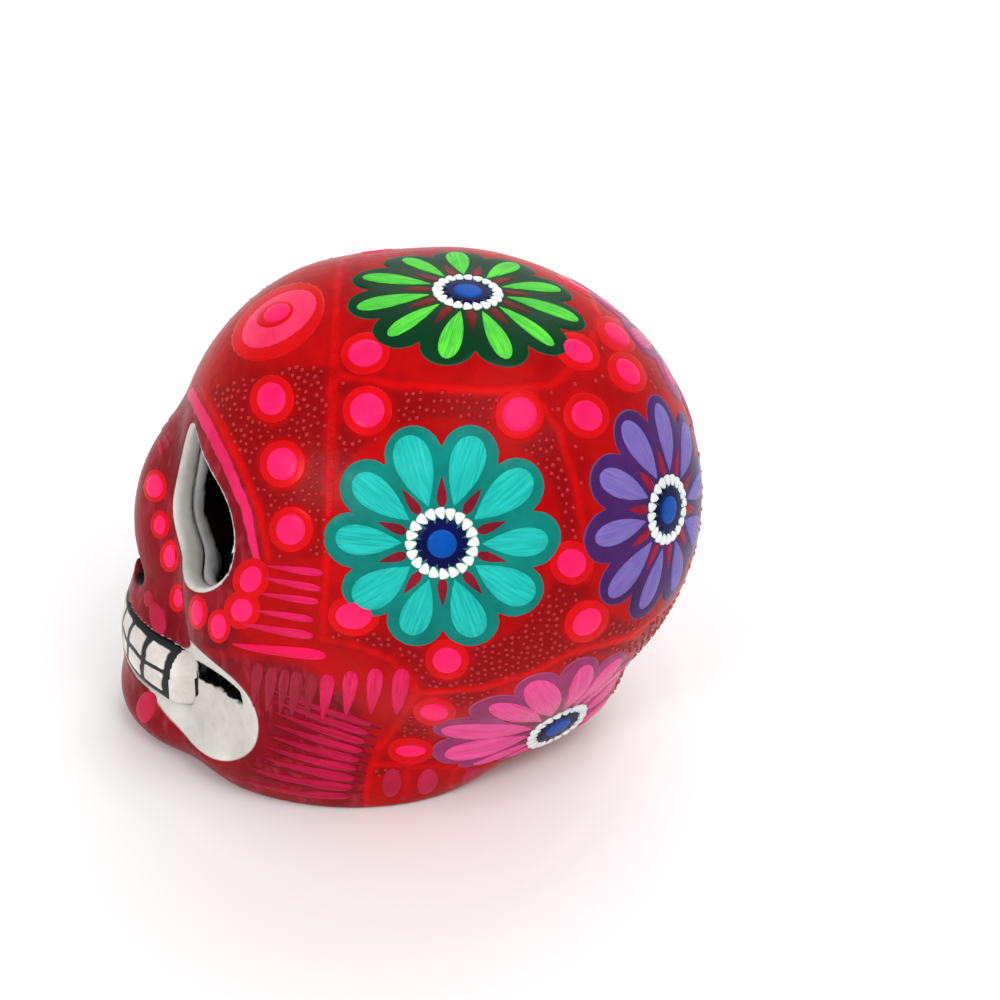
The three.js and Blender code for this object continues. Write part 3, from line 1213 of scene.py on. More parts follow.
@dataclass
class Painter:
    """Puts what the photograph shows, by pixel, onto the skull's skin."""

    form: SkullForm
    camera: PhotoCamera
    oval_step: float = 0.5
    oval_most: float = 1.5

    def ground(self, pixels: Sequence[Pair]) -> Array:
        """The skin's places under pixels."""
        start, direction = self.camera.rays(np.array(pixels, float))
        return self.form.march(start, direction)

    def path(self, pixels: Sequence[Pair], step: float = 2.5) -> Array:
        """A dense line on the skin.

        Args:
            pixels: The pixels that it passes through.
            step: How far apart its places are, in pixels.

        Returns:
            Its places in millimetres.
        """
        corners = np.array(pixels, float)
        dense = []
        for a, b in zip(corners[:-1], corners[1:]):
            count = max(2, int(np.hypot(*(b - a)) / step))
            dense.append(a + (b - a) * np.linspace(0, 1, count, endpoint=False)[:, None])
        dense.append(corners[-1:])
        return self.ground(np.concatenate(dense))

    def belt(self, rise: float, start: float, end: float, count: int) -> Array:
        """Places round the skull at one height.

        Args:
            rise: The height they are aimed at.
            start: The first one's bearing from +X, in degrees.
            end: The last one's bearing.
            count: How many there are.

        Returns:
            The places on the skin.
        """
        turn = np.radians(np.linspace(start, end, count))
        out = np.stack([np.cos(turn), np.sin(turn), np.zeros(count)], 1)
        centre = np.array([0.0, self.form.heart[1], rise])
        return self.form.march(centre + out * self.form.reach, -out)

    def flat_axes(
        self, place: Array, toward: Array, away: Triple | None = None
    ) -> tuple[Array, Array, Array]:
        """The axes of a mark at a place on the skin: its length, its width and the way off the skin.

        Args:
            place: The mark's place.
            toward: Roughly the way its length runs.
            away: The way it is laid on from, where that isn't the skin's own normal.

        Returns:
            Three unit vectors.
        """
        normal = np.array(away) if away else self.form.normal(place[None])[0]
        along = toward - normal * (toward @ normal)
        along /= np.linalg.norm(along)
        return along, np.cross(normal, along), normal

    def oval(self, pixel: Pair, radii: Pair, tilt: float = 0) -> Spot:
        """The mark whose outline the photograph shows as an ellipse.

        Args:
            pixel: The ellipse's centre.
            radii: Its two radii in pixels.
            tilt: How far its first radius turns up from the picture's right, in degrees.

        Returns:
            The spot on the skin.
        """
        place = self.ground([pixel])[0]
        along, across, normal = self.flat_axes(place, np.array([0.0, 0.0, 1.0]))
        step = self.oval_step
        seen = self.camera.pixels(np.stack([place, place + along * step, place + across * step]))
        toward = np.stack([seen[1] - seen[0], seen[2] - seen[0]], 1) / step
        cos, sin = math.cos(math.radians(tilt)), math.sin(math.radians(tilt))
        shape = np.array([[cos * radii[0], -sin * radii[1]], [-sin * radii[0], -cos * radii[1]]])
        turn, sizes, _ = np.linalg.svd(np.linalg.solve(toward, shape))
        first = along * turn[0, 0] + across * turn[1, 0]
        sizes = np.minimum(sizes, max(radii) / self.camera.scale * self.oval_most)
        return Spot(place, first, normal, float(sizes[0]), float(sizes[1]))

    def ovals(self, rows: Sequence[Ellipse], more: Pair = (0.0, 0.0)) -> list[Spot]:
        """The marks of several ellipses, each larger in its two radii by the same numbers of pixels."""
        return [self.oval((x, y), (a + more[0], b + more[1]), tilt) for x, y, a, b, tilt in rows]

    def stroke(self, thin: Pair, thick: Pair, width: float) -> Spot:
        """One brush stroke.

        Args:
            thin: The pixel of its thin end.
            thick: The pixel of its thick end.
            width: Its width in millimetres.

        Returns:
            The spot on the skin.
        """
        middle = ((thin[0] + thick[0]) / 2, (thin[1] + thick[1]) / 2)
        a, place, b = self.ground([thin, middle, thick])
        along, _, normal = self.flat_axes(place, b - a)
        return Spot(place, along, normal, float(np.linalg.norm(b - a) / 2), width / 2)


@dataclass(frozen=True)
class Shape:
    """How many corners a flat outline has, and the numbers that give it its form."""

    steps: int
    form: tuple[float, ...] = ()


class Outline(Enum):
    """The flat shapes that a brush or a dauber leaves."""

    DISC = Shape(28)
    PETAL = Shape(26, (0.77,))
    WEDGE = Shape(12, (0.58, 0.42))
    STROKE = Shape(22, (0.65, 0.8, 0.22))
    SCALLOP = Shape(12, (0.78, 1.06))

    def flat(self, count: int = 10, phase: float = 0) -> Array:
        """The outline, about one unit out from its middle.

        Args:
            count: How many scallops it has, where it is scalloped.
            phase: The bearing of its first scallop, in radians.

        Returns:
            Its corners, in order.
        """
        form = self.value.form
        steps = self.value.steps * (count if self is Outline.SCALLOP else 1)
        angle = np.arange(steps) * 2 * math.pi / steps
        cos, sin = np.cos(angle), np.sin(angle)
        if self is Outline.PETAL:
            return np.stack([-cos, -sin * np.sin(angle / 2) / form[0]], 1)
        if self is Outline.WEDGE:
            return np.stack([cos, sin * (form[0] - form[1] * cos)], 1)
        if self is Outline.STROKE:
            x = np.sign(cos) * np.abs(cos) ** form[0]
            y = np.sign(sin) * np.abs(sin) ** form[1]
            return np.stack([x, y * (form[2] + (1 - form[2]) * ((x + 1) / 2) ** form[1])], 1)
        reach = np.ones(steps)
        if self is Outline.SCALLOP:
            off = np.abs((angle * count / (2 * math.pi) + 0.5) % 1 - 0.5) * 2 * math.pi / count
            lobe = form[1] * math.sin(math.pi / count) * form[0]
            reach = form[0] * np.cos(off) + np.sqrt(np.maximum(lobe ** 2 - (form[0] * np.sin(off)) ** 2, 0))
            reach = reach / reach.max()
        return np.stack([np.cos(angle + phase) * reach, np.sin(angle + phase) * reach], 1)


@dataclass(frozen=True)
class Daub:
    """A closed, lens-shaped daub of paint, which the draping tree copies."""

    outline: Outline
    count: int = 10
    crown: float = 0.15
    phase: float = 0.0
    inner: tuple[Pair, ...] = ((0.35, 0.1), (0.68, 0.35), (0.92, 1.0))
    rim: Pair = (1.0, -0.25)
    shoulder: float = 0.975
    under: float = -0.9
    top_rings: int = 10
    under_rings: int = 5

    def rings(self) -> list[Pair]:
        """The rings from its middle to its rim, each with its reach and its height.

        Returns:
            The rings. A scalloped daub is wide, so it has more of them, and some on its underside.
        """
        if self.outline is not Outline.SCALLOP:
            return [*((reach, 1 - self.crown * share) for reach, share in self.inner), self.rim]
        top = [(k / self.top_rings, 1.0) for k in range(1, self.top_rings)]
        under = [(k / self.under_rings, self.under) for k in range(self.under_rings - 1, 0, -1)]
        return [*top, (self.shoulder, 1 - self.crown), self.rim, *under]

    @cache
    def build(self) -> Piece:
        """Makes the daub, once, with its height kept as a float on each vertex.

        Returns:
            A hidden object.
        """
        flat = self.outline.flat(self.count, self.phase)
        size, rings = len(flat), self.rings()
        places = np.concatenate([np.zeros((1, 2)), *(flat * share for share, _ in rings), np.zeros((1, 2))])
        dome = np.array([1.0, *(height for _, height in rings for _ in flat), self.under])
        faces = []
        last = 1 + len(rings) * size
        for k in range(size):
            after = (k + 1) % size
            faces.append((0, 1 + k, 1 + after))
            for near in range(1, last - size, size):
                faces.append((near + k, near + size + k, near + size + after, near + after))
            faces.append((last, last - size + after, last - size + k))
        name = f"{STAMP}{self.outline.name}_{self.count}_{self.crown}_{self.phase:.2f}"
        piece = new_piece(name, np.column_stack([places / MM, np.zeros(len(places))]), faces)
        for label, values in (("dome", dome), ("along", places[:, 0]), ("across", places[:, 1])):
            give_value(piece.data, label, values)
        hide(piece)
        return piece


def hide(piece: Piece) -> None:
    """Keeps an object that is only copied from out of every view."""
    piece.hide_render = True
    piece.hide_viewport = True


def run_tree(
    carrier: Piece, name: str, tree: bpy.types.NodeTree, keys: dict[str, str], values: dict[str, object]
) -> Piece:
    """Runs a Geometry Nodes tree on an object and keeps what it makes as a plain mesh.

    Args:
        carrier: The object, which is taken away afterwards.
        name: The new piece's name.
        tree: The tree.
        keys: Each input's identifier by name.
        values: Each input's value by name.

    Returns:
        The piece.
    """
    modifier = carrier.modifiers.new(tree.name, "NODES")
    modifier.node_group = tree
    for label, value in values.items():
        modifier[keys[label]] = value
    bpy.context.view_layer.update()
    graph = bpy.context.evaluated_depsgraph_get()
    mesh = bpy.data.meshes.new_from_object(
        carrier.evaluated_get(graph), preserve_all_data_layers=True, depsgraph=graph
    )
    mesh.name = name
    bpy.data.objects.remove(carrier)
    piece = bpy.data.objects.new(name, mesh)
    bpy.context.scene.collection.objects.link(piece)
    mesh.polygons.foreach_set("use_smooth", [True] * len(mesh.polygons))
    return piece


class Draper:
    """Copies one daub onto many places and lays every copy on the shell."""

    squeeze: float = 0.25
    reach: float = 25.0
    odd_step: float = 0.37

    def __init__(self, shell: Piece) -> None:
        """Builds the tree that every painted mark shares.

        Args:
            shell: The shell that they are laid on.
        """
        self.shell = shell
        graph, given, self.keys = new_tree("GeometryNodeTree", "lay_daubs", {
            "Geometry": "Geometry", "Daub": "Object", "Shell": "Object", "Reach": "Float",
            "Thickness": "Float", "Finish": "Material", "Squeeze Below": "Float",
        }, {"Geometry": "Geometry"})
        self.tree = graph.tree
        daub = graph.add("GeometryNodeObjectInfo", {"Object": given["Daub"]})
        turn = graph.add("FunctionNodeEulerToRotation", {0: graph.carried("turn", "FLOAT_VECTOR")})
        copies = graph.add("GeometryNodeInstanceOnPoints", {
            "Points": given["Geometry"], "Instance": daub.outputs["Geometry"],
            "Rotation": turn.outputs[0], "Scale": graph.carried("size", "FLOAT_VECTOR"),
        })
        real = graph.add("GeometryNodeRealizeInstances", {0: copies.outputs[0]})
        target = graph.add("GeometryNodeObjectInfo", {"Object": given["Shell"]})
        away = graph.carried("away", "FLOAT_VECTOR")
        place = self.squeezed_place(graph, given["Squeeze Below"])
        start = graph.summed(place, graph.scaled(away, given["Reach"]))
        ray = graph.add("GeometryNodeRaycast", {
            "Target Geometry": target.outputs["Geometry"], "Source Position": start,
            "Ray Direction": graph.scaled(away, -1.0), "Ray Length": graph.times(given["Reach"], 2.0),
        })
        rise = graph.times(graph.carried("dome", "FLOAT"), given["Thickness"])
        laid = graph.summed(ray.outputs["Hit Position"], graph.scaled(ray.outputs["Hit Normal"], rise))
        move = graph.add("GeometryNodeSetPosition", {
            "Geometry": real.outputs[0], "Selection": ray.outputs["Is Hit"], "Position": laid,
        })
        graph.dress(move.outputs[0], given["Finish"])

    def squeezed_place(self, graph: Graph, limit: Socket) -> Socket:
        """Each vertex's place, moved up towards a height where it is below it.

        Args:
            graph: The tree's graph.
            limit: The height.

        Returns:
            The place's output.
        """
        place = graph.add("GeometryNodeInputPosition").outputs[0]
        parts = graph.add("ShaderNodeSeparateXYZ", {0: place}).outputs
        under = graph.times(graph.maths("SUBTRACT", parts[2], limit), self.squeeze)
        height = graph.maths("MAXIMUM", parts[2], graph.plus(limit, under))
        return graph.add("ShaderNodeCombineXYZ", {0: parts[0], 1: parts[1], 2: height}).outputs[0]

    def lay(
        self, name: str, slot: Slot, finish: Finish, daub: Daub, spots: Sequence[Spot], thickness: float,
        squeeze_below: float = -100.0,
    ) -> None:
        """Lays one daub on many places and keeps the result as a plain mesh.

        Args:
            name: The new piece's name.
            slot: The record's slot for the piece, passed on to finish_piece.
            finish: Its paint.
            daub: The daub.
            spots: Where each copy goes.
            thickness: How thick the paint is, in millimetres.
            squeeze_below: The height in millimetres under which the copies are squeezed up, off the foot.
        """
        both = [spot for s in spots for spot in ([s] if s.single else [s, s.mirrored()])]
        carrier = new_piece(name + "_places", np.array([s.place for s in both]), [])
        turns = [Matrix(np.stack([s.along, s.across(), s.away], 1).tolist()).to_euler() for s in both]
        values = {
            "turn": [tuple(turn) for turn in turns],
            "size": [(s.half_length * MM, s.half_width * MM, MM) for s in both],
            "away": [tuple(s.away) for s in both],
        }
        for label, rows in values.items():
            layer = carrier.data.attributes.new(label, "FLOAT_VECTOR", "POINT")
            layer.data.foreach_set("vector", np.array(rows, np.float32).ravel())
        give_value(carrier.data, "odd", np.arange(len(both)) * self.odd_step)
        finish_piece(run_tree(carrier, name, self.tree, self.keys, {
            "Daub": daub.build(), "Shell": self.shell, "Reach": self.reach * MM,
            "Thickness": thickness * MM, "Finish": finish.build(), "Squeeze Below": squeeze_below * MM,
        }), slot)


@dataclass
class ClayBody:
    """The pressed clay: the hollow shell, the strip of teeth and the strips round the eyes."""

    form: SkullForm
    painter: Painter
    pitch: float = 1.12
    front_pitch: float = 0.94
    back_pitch: float = 1.52
    small_pitch: float = 0.65
    shell_x: Pair = (-58, 58.5)
    shell_y: Triple = (-73.4, -25, 74.5)
    shell_z: Pair = (-1.3, 127.5)
    tooth_grid: tuple[Pair, ...] = ((-27, 27.5), (-73.4, -38), (14, 39))
    collar_grid: tuple[Pair, ...] = ((6, 56), (-56, -14), (46, 108))
    line_pixels: tuple[tuple[Pair, ...], ...] = (
        ((338, 250), (336, 290), (334, 350), (330, 450), (326, 560), (322, 640)),
        ((340, 375), (400, 385), (500, 390), (555, 384), (590, 350), (600, 318), (585, 285), (560, 262)),
        ((535, 395), (560, 430), (576, 480), (585, 530), (588, 580)),
        ((320, 640), (350, 645), (390, 660), (412, 680), (415, 695), (400, 722), (378, 750), (368, 780),
         (366, 806)),
        ((415, 695), (480, 690), (530, 675), (570, 655), (640, 635)),
        ((372, 765), (430, 768), (500, 770)),
        ((409, 770), (404, 800)),
        ((455, 770), (448, 797)),
        ((200, 388), (238, 462), (258, 510), (268, 560)),
    )
    belts: tuple[tuple[float, float, float, int], ...] = ((53.0, 52, 90, 60), (12.5, 38, 90, 60))
    brow_pixels: tuple[Pair, ...] = ((188, 392), (206, 425), (226, 465), (245, 510), (256, 562))
    brow_half_width: float = 1.05
    brow_swell: float = 0.75
    brow_rise: Pair = (74, 98)
    eye_outline: float = 0.65
    white_rear: float = -10.0
    nose_rear: float = -40.0
    unpainted: float = 9.0
    paint_depth: float = 2.5
    facing: Pair = (-0.3, -0.2)
    zone_soft: float = 4.0
    face_soft: float = 6.0
    face_front: Pair = (-46, -42)
    face_top: Pair = (92, 96)
    jaw_soft: float = 8.0
    jaw_rear: float = 12.0
    field_front: Pair = (-14, -12)
    field_low: Pair = (12.5, 14)
    loop_top: Pair = (121, 123)
    hidden_top: Pair = (110, 112)
    motif_gap: Pair = (0.2, 0.9)
    line_gap: Pair = (1.4, 2.0)
    sparse: float = 0.3
    face_zone: tuple[Pair, ...] = (
        (172, 380), (190, 388), (214, 428), (236, 466), (256, 512), (262, 556), (244, 600), (232, 640),
        (222, 655), (180, 640), (120, 600), (20, 560), (20, 330), (100, 330),
    )
    jaw_zone: tuple[Pair, ...] = (
        (218, 655), (300, 664), (352, 700), (366, 735), (364, 820), (20, 830), (20, 560), (120, 590),
        (180, 640),
    )
    brow_panel: tuple[Pair, ...] = (
        (207, 392), (245, 375), (290, 368), (332, 366), (326, 556), (278, 558), (262, 512), (240, 462),
    )
    leaf_zone: tuple[Pair, ...] = (
        (316, 640), (350, 645), (400, 650), (424, 684), (402, 722), (372, 760), (366, 815), (200, 815),
        (215, 655),
    )
    loop_zone: tuple[Pair, ...] = (
        (338, 240), (340, 375), (400, 385), (500, 390), (570, 380), (600, 330), (588, 285), (560, 225),
    )
    purple_panel: tuple[Pair, ...] = (
        (535, 395), (565, 440), (583, 500), (588, 600), (720, 600), (720, 380), (600, 330), (570, 385),
    )
    tooth_marks: tuple[float, ...] = (-17.5, -11.5, -5.8, 0.3, 6.2, 11.8, 17.8)
    tooth_margins: Triple = (1.2, 2.0, 2.0)
    tooth_row_line: float = 0.72
    tooth_gap_line: float = 0.62
    tooth_sway: float = 0.2
    tooth_waves: Pair = (0.8, 0.9)
    tooth_rear: float = -2.4
    tooth_end: float = 0.7
    inked: float = 3.0

    def build_shell(self, kept_clear: Callable[[Array], Array]) -> Piece:
        """Makes the shell and the floats that its ground is painted by.

        Args:
            kept_clear: Gives each place on the skin its distance from the nearest painted motif.

        Returns:
            The shell, which stands for both of the CAD's pressed halves.
        """
        low, fine_to, high = self.shell_y
        xs, zs = np.arange(*self.shell_x, self.pitch), np.arange(*self.shell_z, self.pitch)
        ys = graded(low, high, fine_to, self.front_pitch, self.back_pitch)
        net = SurfaceNet(self.form, self.form.shell, xs, ys, zs)
        vertices = net.vertices
        vertices[:, 2] = np.maximum(vertices[:, 2], 0)
        piece = new_piece("painted_shell", vertices, net.quads)
        outside = self.form.pinched(vertices)
        self.give_edges(piece.data, vertices, outside)
        self.give_lines(piece.data, vertices, outside > -self.paint_depth, kept_clear(vertices))
        piece.data.materials.append(GroundFinish().build())
        finish_piece(piece, Slot.RED, "face_half", "back_half")
        return piece

    def give_edges(self, mesh: bpy.types.Mesh, vertices: Array, outside: Array) -> None:
        """Gives the shell its distances from what is white, from the hole walls and the hollow's inside that
        are painted dark as shade, and from what is bare.

        Args:
            mesh: The shell's mesh.
            vertices: Its vertices.
            outside: The level of its outside at them.
        """
        form, far = self.form, self.unpainted
        cuts = np.minimum(form.dish(vertices), form.eye(vertices) - self.eye_outline)
        cuts = np.minimum(cuts, form.mouth(vertices, form.seat_gap))
        give_value(mesh, "white_far", np.where(vertices[:, 1] > self.white_rear, far, outside + cuts))
        # The inside of the hollow is marked for dark brown painted shade.
        give_value(mesh, "inner_far", form.hollow(vertices, outside))
        # The walls of the nose hole and the mouth slots are marked for near-black painted shade.
        nose = np.where(vertices[:, 1] > self.nose_rear, far, form.nose(vertices))
        give_value(mesh, "nose_far", np.minimum(nose, form.slot(vertices)))
        give_value(mesh, "clay_far", np.minimum(vertices[:, 2], form.vent(vertices)))

    def far_from(self, points: Array, chosen: Array, paths: Sequence[Array]) -> Array:
        """Distance of points from the nearest of some paths.

        Args:
            points: Places in millimetres.
            chosen: Which of them count. The rest are given a long distance.
            paths: The paths' places.

        Returns:
            The distances.
        """
        far = np.full(len(points), FAR)
        for path in paths:
            far[chosen] = np.minimum(far[chosen], distance_to(points[chosen], path))
        return far

    def give_lines(self, mesh: bpy.types.Mesh, vertices: Array, outer: Array, clear: Array) -> None:
        """Gives the shell its distances from the painted lines, its maroon zones and its beaded panels.

        Args:
            mesh: The shell's mesh.
            vertices: Its vertices.
            outer: Which of them are on the outside.
            clear: Their distance from the nearest motif.
        """
        seen = one_side(vertices)
        paths = [self.painter.path(pixels) for pixels in self.line_pixels]
        line = self.far_from(seen, outer, paths + [self.painter.belt(*belt) for belt in self.belts])
        give_value(mesh, "line_far", line)
        swell = self.brow_half_width + self.brow_swell * smooth_step(vertices[:, 2], *self.brow_rise)
        brow = self.far_from(seen, outer, [self.painter.path(self.brow_pixels)])
        give_value(mesh, "brow_far", brow - swell)
        pixels = self.painter.camera.pixels(seen)
        facing = smooth_step(self.form.normal(seen) @ self.painter.camera.axes()[2], *self.facing)

        def zone(corners: Sequence[Pair], soft: float = self.zone_soft) -> Array:
            """How far inside an outline of the photograph each vertex is, 0 to 1."""
            return smooth_step(depth_within(pixels, corners), -soft, soft) * facing

        front = 1 - smooth_step(seen[:, 1], *self.face_front)
        low = 1 - smooth_step(seen[:, 2], *self.face_top)
        face = np.maximum(zone(self.face_zone, self.face_soft), front * low)
        jaw = zone(self.jaw_zone, self.jaw_soft) * (seen[:, 1] < self.jaw_rear)
        give_value(mesh, "face_share", np.maximum(face, jaw))
        behind = smooth_step(seen[:, 1], *self.field_front)
        under_loop = (1 - zone(self.loop_zone)) * (1 - smooth_step(seen[:, 2], *self.loop_top))
        hidden = 1 - smooth_step(seen[:, 2], *self.hidden_top)
        beads = np.maximum(behind * np.where(facing > 0.5, under_loop, hidden), zone(self.brow_panel))
        beads *= (1 - zone(self.leaf_zone)) * (1 - (1 - self.sparse) * zone(self.purple_panel))
        beads *= smooth_step(seen[:, 2], *self.field_low) * smooth_step(clear, *self.motif_gap)
        beads *= smooth_step(line, *self.line_gap) * outer
        give_value(mesh, "bead_field", beads)

    def small_net(self, level: Level, grid: Sequence[Pair]) -> SurfaceNet:
        """The mesh of one of the small pieces."""
        return SurfaceNet(self.form, level, *(np.arange(low, high, self.small_pitch) for low, high in grid))

    def build_teeth(self) -> None:
        """Makes the strip of teeth and the floats that its black lines and the black painted shade on its
        back are drawn by.
        """
        net = self.small_net(self.form.tooth_block, self.tooth_grid)
        piece = new_piece("teeth", net.vertices, net.quads)
        x, _, z = net.vertices.T
        low, high = self.form.lips(x)
        above, below, beside = self.tooth_margins
        off_side = self.form.tooth_span - np.abs(x)
        slow, fast = self.tooth_waves
        row = np.abs(z - (low + high) / 2 - self.tooth_sway * np.sin(x * fast + 1)) - self.tooth_row_line
        ink = np.minimum(np.minimum(high - z - above, z - low - below), np.minimum(row, off_side - beside))
        for mark in self.tooth_marks:
            gap = np.abs(x - mark - self.tooth_sway * np.sin(z * slow + mark)) - self.tooth_gap_line
            ink = np.minimum(ink, gap)
        ink = np.where(off_side < self.tooth_end, self.inked, ink)
        # The strip's back, inside the hollow, is given the black of the ink as painted shade.
        behind = self.form.pinched(net.vertices) < self.tooth_rear
        give_value(piece.data, "ink_far", np.where(behind, -self.inked, ink))
        piece.data.materials.append(ToothFinish().build())
        finish_piece(piece, Slot.WHITE, "tooth_block")

    def build_collars(self) -> None:
        """Makes the strip behind each eye hole."""
        net = self.small_net(self.form.collar, self.collar_grid)
        sides = (("left", net.vertices, net.quads), ("right", other_side(net.vertices), net.quads[:, ::-1]))
        for side, places, faces in sides:
            piece = new_piece("eye_strip_" + side, places, faces)
            piece.data.materials.append(COLLAR_FINISH.build())
            finish_piece(piece, Slot.WHITE, "eye_collar_" + side)


@dataclass(frozen=True)
class FlowerPaint:
    """A flower's colours, its place and its size in millimetres."""

    name: str
    slot: Slot
    pixel: Pair
    radius: float
    petals: int
    petal: Colour
    petal_deep: Colour
    ground: Colour
    wedge: Colour = (136, 22, 42)
    fat: float = 0.163
    tilt: float = 0.0
    squash: float = 1.0
    single: bool = False
    place: Triple | None = None
    toward: Triple = (0.02, -0.05, 1.0)
    heart_squash: float = 1.0
    away: Triple | None = None
    offset: float = 0.0
    squeeze_below: float = -100.0


TURQUOISE = FlowerPaint("turquoise", Slot.TURQUOISE, (442, 544), 26.2, 10,
                        (38, 192, 180), (14, 156, 148), (8, 128, 118), tilt=0.28)
GREEN = FlowerPaint("green", Slot.GREEN, (468, 290), 27.5, 11, (100, 226, 58), (48, 158, 62), (2, 56, 28),
                    (112, 26, 24), 0.098, 0.25, 0.8, True, None, (0.0, -1.0, 0.0), 0.8)
PURPLE = FlowerPaint("purple", Slot.PURPLE, (670, 510), 26, 10, (124, 108, 178), (102, 84, 160), (70, 32, 98),
                     (158, 18, 52), 0.136, 0.1, single=True)
MAUVE = FlowerPaint("mauve", Slot.PINK, (0, 0), 25.5, 10, (206, 96, 140), (182, 66, 116), (142, 52, 104),
                    (132, 18, 52), 0.141, 0.1, single=True, place=(-23.0, 56.0, 94.0))
ROSE = FlowerPaint("rose", Slot.PINK, (559, 727), 30.0, 13, (234, 88, 152), (208, 62, 124), (160, 52, 108),
                   (112, 10, 42), 0.15, 0.237, 0.8, toward=(0.466, -0.459, 0.755),
                   away=(0.702, 0.712, 0.0), offset=9.5, squeeze_below=14.0)


@dataclass
class Flowers:
    """The large flowers: a scalloped ground, petals, wedges, a ring of strokes and an eye."""

    painter: Painter
    paints: tuple[FlowerPaint, ...] = (TURQUOISE, GREEN, PURPLE, MAUVE, ROSE)
    ring: Finish = Finish("white_ring", (236, 240, 236), (206, 212, 208), rough=0.3)
    disc: Finish = Finish("navy_disc", (6, 14, 74), (2, 6, 46))
    tick: Finish = Finish("grey_tick", (58, 110, 116), (30, 74, 88))
    eye: Finish = Finish("blue_eye", (4, 78, 166), (3, 60, 142))
    ground_deep: float = 0.8
    wedge_deep: float = 0.75
    edge_share: float = 0.6
    edge_light: float = 52
    petal_bump: float = 0.3
    petal_start: float = 8.3
    petal_end: float = 0.92
    petal_uneven: float = 0.06
    ray_step: float = 2.3
    ray_share: float = 0.4
    wedge_start: float = 7.8
    wedge_end: float = 0.57
    wedge_half: float = 0.12
    ring_radius: float = 6.7
    ring_half: Pair = (1.4, 1.5)
    ring_count: int = 20
    ring_lean: float = 0.3
    ring_crown: float = 0.4
    disc_radius: float = 6.0
    tick_count: int = 12
    tick_radius: float = 5.3
    tick_half: Pair = (0.8, 0.5)
    eye_radius: float = 3.45
    scallop_thick: float = 0.14
    petal_thick: float = 0.34
    wedge_thick: float = 0.2
    disc_thick: float = 0.4
    tick_thick: float = 0.46
    eye_thick: float = 0.5
    ring_thick: float = 0.75

    def spots(self) -> list[tuple[FlowerPaint, Spot]]:
        """Each flower's place, with its first petal up the skull.

        Returns:
            The flowers and their hearts' places.
        """
        found = []
        form = self.painter.form
        for flower in self.paints:
            if flower.place:
                out = np.array(flower.place) - np.array(form.heart)
                out /= np.linalg.norm(out)
                place = form.march((np.array(form.heart) + out * form.reach)[None], -out[None])[0]
            else:
                place = self.painter.ground([flower.pixel])[0]
            along, _, normal = self.painter.flat_axes(place, np.array(flower.toward), flower.away)
            spot = Spot(place, along, normal, flower.radius, flower.radius, flower.squash, flower.single)
            found.append((flower, spot))
        return found

    def grounds(self) -> list[Spot]:
        """The place of each flower's scalloped ground."""
        return [spot.moved(f.offset, 0, 0, f.radius, f.radius) for f, spot in self.spots()]

    def rays(
        self, flower: FlowerPaint, spot: Spot, turns: Sequence[float], start: float, end: float,
        width: float, uneven: float,
    ) -> list[Spot]:
        """Marks that point from a flower's heart to the places round its ground.

        Args:
            flower: The flower.
            spot: Its heart's place.
            turns: The bearing of each mark's far end, seen from the ground's middle.
            start: How far from the heart the marks begin, in millimetres.
            end: How far out they end, as a share of the ground's radius.
            width: Their half width, as a share of how far they would reach round a centred heart.
            uneven: How much they differ from each other, as a share.

        Returns:
            The marks.
        """
        marks = []
        for k, turn in enumerate(turns):
            more = uneven * math.sin(self.ray_step * k + flower.radius)
            reach = end * flower.radius * (1 + self.ray_share * more)
            tip = (flower.offset + reach * math.cos(turn), reach * math.sin(turn))
            far, bearing = math.hypot(*tip), math.atan2(tip[1], tip[0]) + self.ray_share * more
            middle = (start + far) / 2
            marks.append(spot.moved(middle * math.cos(bearing), middle * math.sin(bearing), bearing,
                                    (far - start) / 2, width * end * flower.radius * (1 + 2 * more)))
        return marks

    def round_it(
        self, spot: Spot, count: int, first: float, radius: float, half: Pair, lean: float
    ) -> list[Spot]:
        """Marks set evenly round a flower's middle."""
        turns = [2 * math.pi * (k + first) / count for k in range(count)]
        return [spot.moved(radius * math.cos(t), radius * math.sin(t), t + lean, *half) for t in turns]

    def build_petals(self, draper: Draper, flower: FlowerPaint, spot: Spot) -> None:
        """Lays one flower's scalloped ground, its petals and its wedges.

        Args:
            draper: What lays them on the shell.
            flower: The flower.
            spot: Its heart's place.
        """
        name, slot, low = flower.name, flower.slot, flower.squeeze_below
        step = 2 * math.pi / flower.petals
        turns = [flower.tilt + step * k for k in range(flower.petals)]
        dark = tuple(int(c * self.ground_deep) for c in flower.ground)
        edge = tuple(int(c * self.edge_share + self.edge_light) for c in flower.ground)
        ground = Finish(name + "_ground", flower.ground, dark, edge=edge)
        scallop = Daub(Outline.SCALLOP, flower.petals, phase=flower.tilt)
        base = spot.moved(flower.offset, 0, 0, flower.radius, flower.radius)
        draper.lay(name + "_scallop", slot, ground, scallop, [base], self.scallop_thick, low)
        petal = Finish(name + "_petal", flower.petal, flower.petal_deep, streaks=True, bump=self.petal_bump)
        petals = self.rays(flower, spot, turns, self.petal_start, self.petal_end, flower.fat,
                           self.petal_uneven)
        draper.lay(name + "_petals", slot, petal, Daub(Outline.PETAL), petals, self.petal_thick, low)
        wedge = Finish(name + "_wedge", flower.wedge, tuple(int(c * self.wedge_deep) for c in flower.wedge))
        between = [turn + step / 2 for turn in turns]
        wedges = self.rays(flower, spot, between, self.wedge_start, self.wedge_end, self.wedge_half, 0)
        draper.lay(name + "_wedges", Slot.RED, wedge, Daub(Outline.WEDGE), wedges, self.wedge_thick, low)

